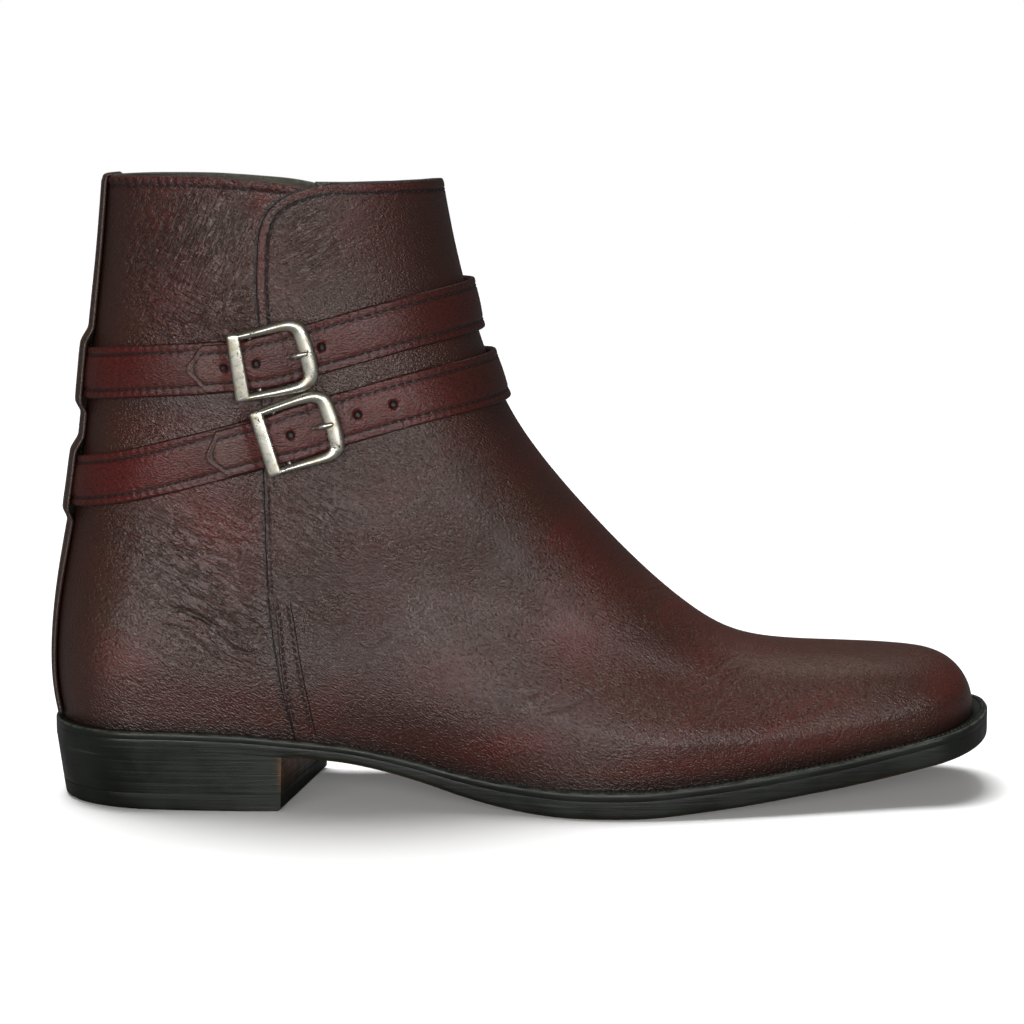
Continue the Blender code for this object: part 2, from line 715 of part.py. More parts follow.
# ---------------------------------------------------------------- straps, back strip and buckles
def strap_line(which, n=240):
    """The strap's middle on the upper: from the back round the outer side to the front, and back along the inner side.
    Gives points, the direction along, up across the strap, and out of the upper, and the distance along."""
    rows = STRAPS[which]

    def side(dz, inner):
        zb, zf = rows[0][1] + dz, rows[-1][1] + dz
        xb = float(table(SHAFT, 1, zb))
        k = int(np.argmin(abs(FRONT_LINE[:, 1] - zf)))
        xf = float(FRONT_LINE[k, 0])
        t = (1 - np.cos(np.linspace(0, math.pi, n))) / 2
        x = xb + (xf - xb) * t
        u = rows[0][0] + (rows[-1][0] - rows[0][0]) * t
        z = table(rows, 2 if inner else 1, u) + dz
        y = surface_y(x, z, inner)
        y[0] = y[-1] = 0.0
        return np.stack([x, y, z], 1)

    def loop(dz):
        o, i = side(dz, False), side(dz, True)
        return np.concatenate([o, i[-2:0:-1]])
    mid, hi, lo = loop(0.0), loop(4.0), loop(-4.0)
    # directions are read over a few places each way, because the places crowd at the back and the front
    tangent = np.roll(mid, -6, 0) - np.roll(mid, 6, 0)
    tangent /= np.linalg.norm(tangent, axis=1)[:, None]
    across = hi - lo
    across = sum(np.roll(across, k, 0) for k in range(-4, 5))
    across -= (across * tangent).sum(1)[:, None] * tangent
    across /= np.linalg.norm(across, axis=1)[:, None]
    out = np.cross(tangent, across)
    centre = mid.mean(0)
    if ((mid - centre) * out).sum() < 0:
        out = -out
    s = np.concatenate([[0], np.cumsum(np.linalg.norm(np.diff(np.concatenate([mid, mid[:1]]), axis=0), axis=1))])
    return mid, tangent, across, out, s


class Band:
    """Places a point given along, across and out from a strap's line."""

    def __init__(self, which):
        self.mid, self.t, self.b, self.n, self.s = strap_line(which)
        self.length = self.s[-1]
        self.front = self.s[239]
        self.which = which

    def frame(self, s):
        s = np.mod(np.asarray(s, float), self.length)
        out = []
        for a in (self.mid, self.t, self.b, self.n):
            ring_a = np.concatenate([a, a[:1]])
            out.append(np.stack([np.interp(s, self.s, ring_a[:, k]) for k in range(3)], -1))
        for k in (1, 2, 3):
            out[k] = out[k] / np.linalg.norm(out[k], axis=-1)[..., None]
        return out

    def flare(self, s):
        """The strap stands off at its upper edge where it rounds the shin."""
        d = np.abs(np.mod(np.asarray(s, float), self.length) - self.front)
        return np.exp(-(d / 26.0) ** 2)

    def place(self, s, across, out):
        c, _, b, n = self.frame(s)
        across, out = np.asarray(across, float), np.asarray(out, float)
        lift = self.flare(s) * (0.25 + 0.075 * np.clip(across + 5, 0, None))
        return c + b * across[..., None] + n * (out + lift)[..., None]

    def at_x(self, x):
        """Distance along to a place on the outer side."""
        half = self.mid[:240]
        return float(np.interp(x, half[:, 0], self.s[:240]))


def strap_section(width, thick, ease):
    """Rounded strap edge: (across, out) pairs round the section."""
    w, e = width / 2, ease
    return [(-w + e, 0), (w - e, 0), (w, e), (w, thick - e), (w - e, thick), (-w + e, thick), (-w, thick - e), (-w, e)]


def sweep(name, band, path, mat, c, width_of=None, thick=STRAP, ease=0.45):
    """A strap along path, rows of (distance along, height of its underside)."""
    loops = []
    for k, (s, h) in enumerate(path):
        width = STRAP_WIDTH if width_of is None else width_of(s)
        section = np.array(strap_section(width, thick, ease))
        loops.append(band.place(np.full(len(section), s), section[:, 0], section[:, 1] + h))
    verts, faces = loft(loops, cap_ends=True)
    return add(name, to_row(verts), faces, mat, c)


REST = 0.5                # underside of a strap over the upper


def buckle_places(band, which):
    x_mid, x_tip = BUCKLES[which]
    s_mid = band.at_x(x_mid)
    return s_mid, band.at_x(x_tip)


def make_straps(c, mats):
    for which in ("upper", "lower"):
        band = Band(which)
        s_mid, s_tip = buckle_places(band, which)
        half = FRAME_WINDOW / 2
        s_bar = s_mid - half + 2.6          # hidden bar that holds the strap's short end and the prong
        s_left = s_mid - half - BAR / 2      # keeper bar over the strap's point
        s_right = s_mid + half + BAR / 2     # front bar
        # short end: from under the back strip to the hidden bar
        start = 0.8
        short_end = s_bar - 1.9
        # it is pared down to 1.1 mm where it passes under the buckle
        steps = np.linspace(start, short_end, 15)
        loops = []
        for s in steps:
            thick = STRAP - 0.9 * float(smooth((s - (s_left - 6)) / 6))
            section = np.array(strap_section(STRAP_WIDTH - 0.6 * float(smooth((s - (s_left - 8)) / 6)), thick, 0.35))
            loops.append(band.place(np.full(len(section), s), section[:, 0], section[:, 1] + REST))
        verts, faces = loft(loops, cap_ends=True)
        add(f"strap_{which}_short", to_row(verts), faces, mats["strap"], c)
        # long end: from its point, through the buckle, round the front and the inner side to the back
        rows = [
            # distance along, height of the underside
            (s_tip, REST + STRAP + 0.35),
            (s_tip + 6, REST + STRAP + 0.35),
            (s_left - 7, REST + STRAP + 0.4),
            (s_left - 2, REST + 3.5),
            (s_bar, REST + 3.9),
            (s_mid + 2, REST + 3.1),
            (s_right - 3, REST + 1.5),
            (s_right + 3, REST + 0.8),
            (s_right + 9, REST + 0.1),
            (s_right + 16, REST),
        ]
        end = band.length - 0.8
        keys, heights = [r[0] for r in rows], [r[1] for r in rows]
        s_list = [s_tip, s_tip + 2.5] + list(np.linspace(s_tip + 5.0, s_right + 16, 12)) + list(np.linspace(s_right + 16, end, 43)[1:])
        loops = []
        for s in s_list:
            h = float(monotone(keys, heights, s)) if s < keys[-1] else REST
            # the point of the strap: narrower than the rest, its corners cut off over 5 mm
            w = STRAP_WIDTH - 1.4 * (1 - float(smooth((s - s_left) / 10)))
            w = min(w, 2.6 + 12.4 * (s - s_tip) / 5.0)
            section = np.array(strap_section(w, STRAP, 0.45))
            loops.append(band.place(np.full(len(section), s), section[:, 0], section[:, 1] + h))
        verts, faces = loft(loops, cap_ends=True)
        add(f"strap_{which}_long", to_row(verts), faces, mats["strap"], c)
        make_buckle(c, mats, band, which, s_left, s_bar, s_right)


FRAME_CURVE = [
    # inner edge: along, across; outer edge: along, across, from the window's middle; one half, top to front
    (-9.4, 8.6, -9.4, 10.5),
    (-4.0, 8.6, -4.0, 10.6),
    (1.0, 8.6, 1.0, 10.8),
    (5.6, 8.6, 6.2, 11.2),
    (7.4, 8.5, 9.6, 10.6),
    (8.3, 7.6, 11.8, 8.4),
    (8.4, 5.6, 12.6, 5.6),
    (8.4, 2.8, 12.8, 2.8),
    (8.4, 0.0, 12.8, 0.0),
]


def frame_lift(s_mid, half):
    """Height of the frame's underside along the strap."""
    keys = [s_mid - half - 5, s_mid - half - 2, s_mid - half + 3, s_mid + half - 3, s_mid + half + 2, s_mid + half + 5]
    lift = [REST + 6.1, REST + 6.1, REST + 5.3, REST + 4.5, REST + 4.2, REST + 4.0]
    return lambda s: monotone(keys, lift, s)


def make_buckle(c, mats, band, which, s_left, s_bar, s_right):
    half = FRAME_WINDOW / 2
    s_mid = (s_left + s_right) / 2
    side = half + FRAME_SIDE / 2
    high_left = REST + 6.1
    base = frame_lift(s_mid, half)
    # frame: a ring of rounded sections round three sides of the window
    curve = FRAME_CURVE + [(a, -b, d, -e) for a, b, d, e in FRAME_CURVE[-2::-1]]
    loops = []
    for ia, it, oa, ot in curve:
        section = []
        for share, q in ((0.0, 0.3), (0.0, 1.5), (0.28, 2.2), (0.72, 2.2), (1.0, 1.4), (1.0, 0.4), (0.8, 0.0), (0.2, 0.0)):
            a, t = ia + (oa - ia) * share, it + (ot - it) * share
            section.append((s_mid + a, t, float(base(s_mid + a)) + q))
        section = np.array(section)
        loops.append(band.place(section[:, 0], section[:, 1], section[:, 2]))
    verts, faces = loft(loops, cap_ends=True)
    frame = add(f"buckle_{which}_frame", to_row(verts), faces, mats["metal"], c, 35)
    # keeper bar across the strap's point, wide and flat
    loops = []
    for t in (-side - 1.05, -side - 0.5, -side + 2, 0, side - 2, side + 0.5, side + 1.05):
        ends = abs(t) > side + 0.8
        w = BAR * (0.8 if ends else 1.0)
        section = np.array([(s_left + p * w, t, high_left + q) for p, q in
                            ((-0.5, 0.3), (-0.5, 1.6), (-0.28, 2.3), (0.28, 2.3), (0.5, 1.6), (0.5, 0.3), (0.3, -0.1), (-0.3, -0.1))])
        loops.append(band.place(section[:, 0], section[:, 1], section[:, 2]))
    verts, faces = loft(loops, cap_ends=True)
    keeper = add(f"keeper_{which}", to_row(verts), faces, mats["metal"], c, 35)
    # hidden bar: a pin across the frame under the strap, with a post at each end up into the frame
    parts = [keeper]
    low = REST + 2.2
    loops = []
    for t in (-side - 0.7, side + 0.7):
        section = np.array([(s_bar + 0.85 * math.cos(a), t, low + 0.85 * math.sin(a)) for a in np.linspace(0, 2 * math.pi, 9)[:-1]])
        loops.append(band.place(section[:, 0], section[:, 1], section[:, 2]))
    verts, faces = loft(loops, cap_ends=True)
    parts.append(add(f"pin_{which}", to_row(verts), faces, mats["metal"], c, 35))
    for sign in (-1, 1):
        loops = []
        for h in (low - 0.9, float(base(s_bar)) + 1.2):
            section = np.array([(s_bar + p, sign * side + q, h) for p, q in ((-1.0, -0.8), (1.0, -0.8), (1.0, 0.8), (-1.0, 0.8))])
            loops.append(band.place(section[:, 0], section[:, 1], section[:, 2]))
        verts, faces = loft(loops, cap_ends=True)
        parts.append(add(f"post_{which}_{sign + 1}", to_row(verts), faces, mats["metal"], c, 35))
    cutters = bpy.data.collections["helpers"]
    for p in parts:
        c.objects.unlink(p)
        cutters.objects.link(p)
        p.hide_render = True
        p.display_type = "WIRE"
        m = frame.modifiers.new("join", "BOOLEAN")
        m.operation = "UNION"
        m.object = p
        m.solver = "EXACT"
    # prong: its eye is round the hidden bar, it rises through the strap's hole and rests on the front bar
    top_right = float(base(s_right)) + 2.2 + 0.3
    rows = [
        # along, height of the middle, half width
        (s_right - 2.2 - 3.2, REST + 3.9 + 1.2, 0.75),
        (s_right - 2.2 - 1.6, top_right + 0.1, 0.8),
        (s_right - 2.2, top_right + 0.75, 0.85),
        (s_right - 1.0, top_right + 0.8, 0.8),
        (s_right + 0.3, top_right + 0.7, 0.6),
        (s_right + 0.9, top_right + 0.6, 0.3),
    ]
    loops = []
    for s, h, r in rows:
        section = np.array([(s, r * math.cos(a), h + 0.75 * min(1, r / 0.6) * math.sin(a)) for a in np.linspace(0, 2 * math.pi, 9)[:-1]])
        loops.append(band.place(section[:, 0], section[:, 1], section[:, 2]))
    verts, faces = loft(loops, cap_ends=True)
    add(f"buckle_{which}_prong", to_row(verts), faces, mats["metal"], c, 35)


def back_point(y, z, out):
    """A point on the back of the upper, out from its surface."""
    def x_of(y, z):
        w = half_width(np.full(np.shape(z), 15.0), z, False)
        r = table(SHAFT, 2, z)
        e = np.clip(np.abs(y) / w, 0, 0.999)
        return table(SHAFT, 1, z) + r * (1 - (1 - e**BACK_POWER) ** (1 / BACK_POWER))
    y, z = np.asarray(y, float), np.asarray(z, float)
    x = x_of(y, z)
    nx = np.stack([-np.ones_like(x), (x_of(y + 0.5, z) - x_of(y - 0.5, z)), (x_of(y, z + 0.5) - x_of(y, z - 0.5))], -1)
    nx /= np.linalg.norm(nx, axis=-1)[..., None]
    return np.stack([x, y, z], -1) + nx * np.asarray(out)[..., None]


def backstay_rows():
    """Height up the back and distance of the strip's underside from the upper."""
    over = REST + STRAP + 0.35
    zs = []
    for which in ("lower", "upper"):
        z = STRAPS[which][0][1]
        h = STRAP_WIDTH / 2
        zs += [(z - h - 5, 0.45), (z - h - 0.8, over - 0.1), (z - h + 3, over), (z + h - 3, over), (z + h + 0.8, over - 0.1), (z + h + 7, 0.45)]
    rows = [(28.5, 0.45), (36, 0.45), (46, 0.45), (58, 0.45), (72, 0.45), (84, 0.45)]
    rows += zs + [(165, 0.45), (178, 0.45), (189, 0.45), (196.0, 0.45)]
    return sorted(rows)


def make_backstay(c, mats, n_across=9):
    rows = backstay_rows()
    ys = np.linspace(-BACKSTAY_WIDTH / 2, BACKSTAY_WIDTH / 2, n_across)
    loops = [back_point(ys, np.full(n_across, z), np.full(n_across, h)) for z, h in rows]
    # folded over the collar and down inside
    top = COLLAR_BACK
    inside = -(UPPER_WALL + 0.45)
    for z, h in ((top - 0.2, 0.45), (top + 0.45, 0.0), (top + 0.6, -1.2), (top + 0.45, -2.4), (top - 0.3, inside), (top - 6, inside), (top - 12, inside)):
        loops.append(back_point(ys, np.full(n_across, z), np.full(n_across, h)))
    verts, faces = loft(loops, closed_loop=False)
    mesh = bpy.data.meshes.new("backstay")
    mesh.from_pydata([tuple(v) for v in to_row(verts)], [], faces)
    mesh.materials.append(mats["strap"])
    mesh.shade_smooth()
    mesh.set_sharp_from_angle(angle=math.radians(45))
    obj = bpy.data.objects.new("backstay", mesh)
    c.objects.link(obj)
    outward = mesh.polygons[0].normal.x < 0
    s = obj.modifiers.new("leather", "SOLIDIFY")
    s.thickness = BACKSTAY * MM
    s.offset = 1.0 if outward else -1.0
    s.use_even_offset = True
    return obj


# ---------------------------------------------------------------- build
def main():
    clear_scene()
    boot = bpy.data.collections.new("jodhpur_boot")
    helpers = bpy.data.collections.new("helpers")
    for c in (boot, helpers):
        bpy.context.scene.collection.children.link(c)
    mats = {
        "leather": material("burgundy_leather", (0.085, 0.022, 0.018), 0.38),
        "strap": material("burgundy_strap_leather", (0.11, 0.02, 0.016), 0.36),
        "sole": material("black_sole_edge", (0.012, 0.014, 0.011), 0.35),
        "heel": material("black_stacked_leather", (0.012, 0.014, 0.011), 0.4),
        "rubber": material("black_rubber", (0.01, 0.01, 0.01), 0.6),
        "insole": material("tan_insole_leather", (0.35, 0.2, 0.1), 0.6),
        "metal": material("antiqued_nickel", (0.72, 0.70, 0.64), 0.3, 1.0),
    }
    make_sole(boot, mats, 30)
    make_heel(boot, mats)
    make_insole(boot, mats, 24)
    make_upper(boot, mats)
    make_straps(boot, mats)
    make_backstay(boot, mats)


main()
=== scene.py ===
"""Looks of the right jodhpur boot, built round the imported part.

Metres, +X to the toe, +Y to the inner side, +Z up. The functions below work in millimetres,
with x measured from the back of the sole, and to_row turns them into the row's frame.
"""
import math

import bmesh
import bpy
import numpy as np
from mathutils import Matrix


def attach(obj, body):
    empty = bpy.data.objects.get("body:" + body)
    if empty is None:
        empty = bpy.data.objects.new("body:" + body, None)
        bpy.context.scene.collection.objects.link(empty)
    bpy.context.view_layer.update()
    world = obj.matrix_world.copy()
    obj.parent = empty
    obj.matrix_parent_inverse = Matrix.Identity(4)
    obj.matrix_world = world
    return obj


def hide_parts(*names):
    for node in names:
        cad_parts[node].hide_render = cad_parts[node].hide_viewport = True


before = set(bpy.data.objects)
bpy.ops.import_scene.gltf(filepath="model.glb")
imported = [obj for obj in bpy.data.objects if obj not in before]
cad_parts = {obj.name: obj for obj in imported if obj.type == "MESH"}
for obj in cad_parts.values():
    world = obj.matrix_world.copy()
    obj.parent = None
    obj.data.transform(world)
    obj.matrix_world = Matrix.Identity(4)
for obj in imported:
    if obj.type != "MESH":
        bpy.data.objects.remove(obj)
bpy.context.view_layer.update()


# ---------------------------------------------------------------- driving sizes, millimetres
SOLE_LENGTH = 305.6        # outsole, heel to toe
HEEL_CENTRE = 32.0         # origin, from the back of the sole
COLLAR_BACK = 199.6        # height of the collar above the floor
COLLAR_FRONT = 198.8
UPPER_WALL = 2.4           # vamp or quarter leather with its lining
GAP = 0.35                 # clearance between curved pieces that touch
LASTING_MARGIN = 9.0       # upper turned in under the insole
INSOLE = 2.5
STRAP_WIDTH = 16.4
STRAP = 1.8                # doubled and stitched strap
BACKSTAY_WIDTH = 23.0
BACKSTAY = 1.4
BAR = 4.4                  # width of a buckle's end bars
FRAME_WINDOW = 16.8        # inside of the buckle, along the strap
FRAME_SIDE = 2.1
HEEL_TOP_PIECE = 5.5
FLAT_SPOT = (165.0, 186.0)  # the sole lies flat on the floor under the ball

# ---------------------------------------------------------------- tables
# underside of the outsole and the thickness of outsole and welt at its edge
SOLE = [
    # x,   underside, outsole, welt
    (0, 20.0, 3.5, 2.4),
    (30, 19.8, 3.5, 2.4),
    (60, 18.7, 3.5, 2.4),
    (76, 17.3, 3.4, 2.3),
    (94, 15.3, 3.3, 2.3),
    (107, 12.5, 3.5, 2.3),
    (120, 8.7, 4.0, 2.4),
    (132, 4.8, 4.7, 2.6),
    (145, 1.8, 5.4, 2.8),
    (157, 0.35, 5.8, 2.9),
    (165, 0.0, 5.9, 2.9),
    (186, 0.0, 5.9, 2.9),
    (208, 1.5, 5.8, 2.9),
    (224, 3.1, 5.8, 2.9),
    (240, 5.1, 5.8, 2.9),
    (256, 7.2, 6.0, 2.9),
    (271, 9.7, 6.2, 2.9),
    (284, 12.3, 6.3, 2.9),
    (295, 14.7, 6.4, 2.9),
    (306, 17.2, 6.4, 2.9),
]
# half widths of the outsole from the heel-to-toe axis, and the line on which its ends close
OUTLINE = [
    # x,  outer, inner, middle
    (0, 33.0, 33.0, 0.0),
    (30, 33.6, 33.2, 0.0),
    (60, 33.6, 32.4, 0.0),
    (85, 32.8, 30.4, 0.0),
    (110, 31.8, 28.6, 0.5),
    (130, 33.2, 31.0, 1.5),
    (145, 37.0, 36.0, 3.0),
    (157, 41.2, 41.5, 4.0),
    (170, 45.4, 47.0, 5.0),
    (183, 46.4, 51.5, 6.0),
    (195, 45.6, 54.5, 6.5),
    (210, 43.0, 56.5, 7.0),
    (230, 38.4, 55.4, 8.0),
    (250, 32.8, 51.0, 9.5),
    (270, 27.2, 45.2, 11.0),
    (290, 22.6, 38.8, 12.5),
    (306, 20.0, 34.5, 13.5),
]
# half widths of the upper: at the feather edge, at the fullest part of the side and below the top
LAST = [
    # x, feather: outer, inner, side: outer, inner, height, top: outer, inner, height, ridge
    (0, 29.6, 29.6, 32.6, 32.6, 22, 31.0, 31.0, 60, 0.0),
    (30, 30.6, 30.2, 33.6, 33.4, 22, 31.0, 31.0, 64, 0.0),
    (60, 30.6, 29.4, 34.0, 33.2, 24, 32.0, 31.6, 70, 0.2),
    (85, 29.8, 27.4, 34.6, 32.8, 26, 32.8, 31.8, 72, 0.6),
    (110, 28.8, 25.6, 35.4, 33.8, 28, 32.8, 31.8, 70, 1.4),
    (130, 30.0, 28.0, 36.8, 37.0, 26, 31.0, 32.0, 64, 2.6),
    (150, 34.8, 34.0, 39.4, 41.6, 22, 29.4, 32.8, 58, 4.2),
    (170, 40.4, 42.0, 42.6, 46.4, 17, 28.8, 34.4, 50, 5.6),
    (190, 41.0, 48.8, 43.0, 51.2, 14, 29.6, 37.4, 40, 6.6),
    (210, 38.2, 51.4, 40.0, 53.4, 12, 29.6, 40.6, 31, 7.2),
    (230, 33.6, 50.0, 35.2, 51.8, 10, 28.4, 42.0, 25, 7.4),
    (250, 28.0, 45.6, 29.6, 47.2, 9, 25.6, 41.6, 22, 7.8),
    (270, 22.6, 39.8, 24.0, 41.2, 9, 21.4, 37.0, 20, 8.6),
    (290, 17.8, 33.4, 18.8, 34.6, 9, 17.0, 31.4, 18, 9.8),
    (301, 15.6, 30.2, 16.6, 31.2, 9, 15.0, 28.6, 18, 10.4),
]
# back curve of the shaft and heel, with the rounding of the back and the shaft's half widths
SHAFT = [
    # z,  back x, back rounding, outer, inner
    (18, 4.4, 29.0, 33.5, 33.0),
    (26, 2.6, 30.0, 33.5, 33.0),
    (36, 1.0, 31.5, 33.5, 33.0),
    (48, 0.7, 33.0, 33.5, 33.0),
    (62, 1.8, 34.5, 33.5, 33.0),
    (76, 3.9, 37.0, 33.2, 32.6),
    (92, 6.9, 40.5, 33.0, 32.4),
    (110, 9.7, 44.0, 33.4, 32.8),
    (130, 12.1, 47.0, 34.0, 33.6),
    (150, 14.3, 49.0, 35.2, 34.8),
    (175, 17.3, 51.0, 37.0, 36.8),
    (205, 20.2, 53.0, 38.8, 38.8),
]
# front and top profile, from the collar down the shin and instep to the toe box
FRONT = [
    # x,    z,   rounding, squareness
    (125.6, 205.0, 50.0, 2.1),
    (130.2, 180.0, 49.0, 2.1),
    (134.6, 162.0, 47.5, 2.1),
    (140.2, 144.0, 45.0, 2.05),
    (147.4, 126.5, 41.0, 2.0),
    (157.7, 110.4, 36.5, 1.95),
    (171.0, 94.2, 32.5, 1.9),
    (190.3, 74.0, 30.0, 1.9),
    (206.0, 60.4, 29.0, 2.0),
    (220.5, 51.6, 27.0, 2.15),
    (237.0, 47.7, 24.5, 2.4),
    (256.0, 46.5, 22.5, 2.6),
    (270.0, 46.0, 21.5, 2.7),
    (290.0, 45.2, 21.0, 2.7),
    (310.0, 44.4, 21.0, 2.7),
]
TOE_TIP = 300.4            # feather edge at the toe
TOE_CORNER_LENGTH = 29.8   # chisel toe: side view of its corner
TOE_CORNER_BASE = 24.0
TOE_CORNER_TOP = 46.0
TOE_CORNER_POWER = 2.7
TOE_PLAN = [
    # side: rounding, power; the toe's inner corner is the squarer and lies further forward
    ("outer", 24.0, 2.4),
    ("inner", 19.0, 3.0),
]
BACK_POWER = 2.1

# centre lines of the straps seen from the side, on the outer and the inner side
STRAPS = {
    "upper": [
        # x,  outer z, inner z
        (13.0, 137.4, 137.4),
        (30.0, 139.6, 140.6),
        (50.0, 141.2, 144.6),
        (66.0, 142.8, 148.0),
        (80.0, 145.6, 151.0),
        (97.0, 149.9, 154.0),
        (118.0, 155.2, 157.4),
        (137.5, 158.8, 158.8),
    ],
    "lower": [
        (7.0, 102.6, 102.6),
        (30.0, 107.6, 108.6),
        (50.0, 112.9, 114.2),
        (66.0, 117.0, 118.4),
        (80.0, 121.2, 122.2),
        (97.0, 126.0, 126.8),
        (118.0, 131.4, 132.4),
        (144.0, 136.0, 136.0),
    ],
}
# where each buckle's window lies, x of its middle on the outer side, and the tip of the strap
BUCKLES = {
    # name: window middle, strap tip, x from the back of the sole
    "upper": (74.6, 48.6),
    "lower": (82.4, 53.6),
}
# height of the collar's edge, dipping a little at the side seams
COLLAR = [
    # x, height
    (19.0, 199.6),
    (34.0, 200.0),
    (50.0, 200.0),
    (64.0, 199.2),
    (77.0, 197.8),
    (90.0, 198.0),
    (105.0, 198.6),
    (128.0, 198.8),
]


# ---------------------------------------------------------------- curves through the tables
def spline(knots, values, at):
    """Natural cubic spline through the knots."""
    k = np.asarray(knots, float)
    v = np.asarray(values, float)
    n = len(k)
    h = np.diff(k)
    m = np.zeros((n, n))
    r = np.zeros(n)
    m[0, 0] = m[-1, -1] = 1.0
    for i in range(1, n - 1):
        m[i, i - 1], m[i, i], m[i, i + 1] = h[i - 1], 2 * (h[i - 1] + h[i]), h[i]
        r[i] = 6 * ((v[i + 1] - v[i]) / h[i] - (v[i] - v[i - 1]) / h[i - 1])
    c = np.linalg.solve(m, r)
    t = np.clip(np.asarray(at, float), k[0], k[-1])
    i = np.clip(np.searchsorted(k, t, side="right") - 1, 0, n - 2)
    a, b = (k[i + 1] - t) / h[i], (t - k[i]) / h[i]
    return a * v[i] + b * v[i + 1] + ((a**3 - a) * c[i] + (b**3 - b) * c[i + 1]) * h[i] ** 2 / 6


def monotone(knots, values, at):
    """Cubic that keeps level stretches level, for the sole's resting line."""
    k = np.asarray(knots, float)
    v = np.asarray(values, float)
    h = np.diff(k)
    d = np.diff(v) / h
    s = np.zeros(len(k))
    for i in range(1, len(k) - 1):
        if d[i - 1] * d[i] > 0:
            w1, w2 = 2 * h[i] + h[i - 1], h[i] + 2 * h[i - 1]
            s[i] = (w1 + w2) / (w1 / d[i - 1] + w2 / d[i])
    s[0], s[-1] = d[0], d[-1]
    t = np.clip(np.asarray(at, float), k[0], k[-1])
    i = np.clip(np.searchsorted(k, t, side="right") - 1, 0, len(k) - 2)
    u = (t - k[i]) / h[i]
    return ((1 + 2 * u) * (1 - u) ** 2 * v[i] + u * (1 - u) ** 2 * h[i] * s[i]
            + u**2 * (3 - 2 * u) * v[i + 1] + u**2 * (u - 1) * h[i] * s[i + 1])


def column(table, j):
    return [row[j] for row in table]


def table(rows, j, at, how=spline):
    return how(column(rows, 0), column(rows, j), at)


def smooth(t):
    t = np.clip(t, 0, 1)
    return t * t * (3 - 2 * t)


def underside(x):
    return table(SOLE, 1, x, monotone)


def outsole_top(x):
    return underside(x) + table(SOLE, 2, x, monotone)


def welt_top(x):
    return outsole_top(x) + table(SOLE, 3, x, monotone)


def dense_front():
    """The front profile as a fine line, with its rounding and squareness."""
    pts = np.array(FRONT, float)
    t = np.concatenate([[0], np.cumsum(np.hypot(*np.diff(pts[:, :2], axis=0).T))])
    u = np.linspace(0, t[-1], 700)
    return np.stack([spline(t, pts[:, j], u) for j in range(4)], axis=1)


FRONT_LINE = dense_front()


def front_distance(x, z):
    """Distance to the front profile, and its rounding and squareness at the nearest place."""
    shape = np.shape(x)
    x, z = np.ravel(x), np.ravel(z)
    i = np.empty(len(x), int)
    for a in range(0, len(x), 4000):
        gap = (x[a:a + 4000, None] - FRONT_LINE[:, 0]) ** 2 + (z[a:a + 4000, None] - FRONT_LINE[:, 1]) ** 2
        i[a:a + 4000] = gap.argmin(1)
    j = np.clip(i, 1, len(FRONT_LINE) - 2)
    along = FRONT_LINE[j + 1, :2] - FRONT_LINE[j - 1, :2]
    along /= np.hypot(along[:, 0], along[:, 1])[:, None]
    to = np.stack([x, z], 1) - FRONT_LINE[j, :2]
    d = to[:, 0] * along[:, 1] - to[:, 1] * along[:, 0]   # positive inside the boot
    return (np.maximum(d, 0).reshape(shape), FRONT_LINE[j, 2].reshape(shape),
            FRONT_LINE[j, 3].reshape(shape))


def toe_x(z):
    """Side view of the toe's end: upright at the feather, rounded over into the toe box."""
    t = np.clip((np.asarray(z, float) - TOE_CORNER_BASE) / (TOE_CORNER_TOP - TOE_CORNER_BASE), 0, 1)
    lean = 0.6 * t
    return TOE_TIP - lean - TOE_CORNER_LENGTH + TOE_CORNER_LENGTH * (1 - t**TOE_CORNER_POWER) ** (1 / TOE_CORNER_POWER)


def front_x(z):
    """x of the shin's profile at a height."""
    return np.interp(z, FRONT_LINE[::-1, 1], FRONT_LINE[::-1, 0])


def rounding(d, r, power):
    """0 at the silhouette, 1 at a distance r inside it, round in between."""
    t = np.clip(1 - np.asarray(d, float) / r, 0, 1)
    return (1 - t**power) ** (1 / power)


def ridge(x):
    return table(LAST, 9, np.clip(x, 0, 301))


def half_width(x, z, inner):
    """Half width of the upper's outer surface at a place in the side view, before its ends are rounded."""
    x, z = np.asarray(x, float), np.asarray(z, float)
    xc = np.clip(x, 0, 301)
    j = 1 if inner else 0
    feather, side, top = (table(LAST, c + j, xc) for c in (1, 3, 6))
    h = z - welt_top(xc)
    hs, ht = table(LAST, 5, xc), table(LAST, 8, xc)
    low = feather + (side - feather) * np.sin(np.clip(h / hs, 0, 1) * math.pi / 2)
    high = side + (top - side) * smooth((h - hs) / (ht - hs))
    foot = np.where(h < hs, low, high)
    shaft = table(SHAFT, 3 + j, z)
    return foot + (shaft - foot) * smooth((z - 72) / 46)


def surface_y(x, z, inner):
    """Y of the upper's outer surface seen from the side, in millimetres."""
    x, z = np.asarray(x, float), np.asarray(z, float)
    d, r, power = front_distance(x, z)
    e = rounding(d, r, power)
    _, r_toe, power_toe = TOE_PLAN[1 if inner else 0]
    e = e * rounding(toe_x(z) - x, r_toe, power_toe)
    e = e * rounding(x - table(SHAFT, 1, z), table(SHAFT, 2, z), BACK_POWER)
    mid = ridge(x) * (1 - smooth((z - 90) / 50))
    w = half_width(x, z, inner)
    return mid + ((w if inner else -w) - mid) * e


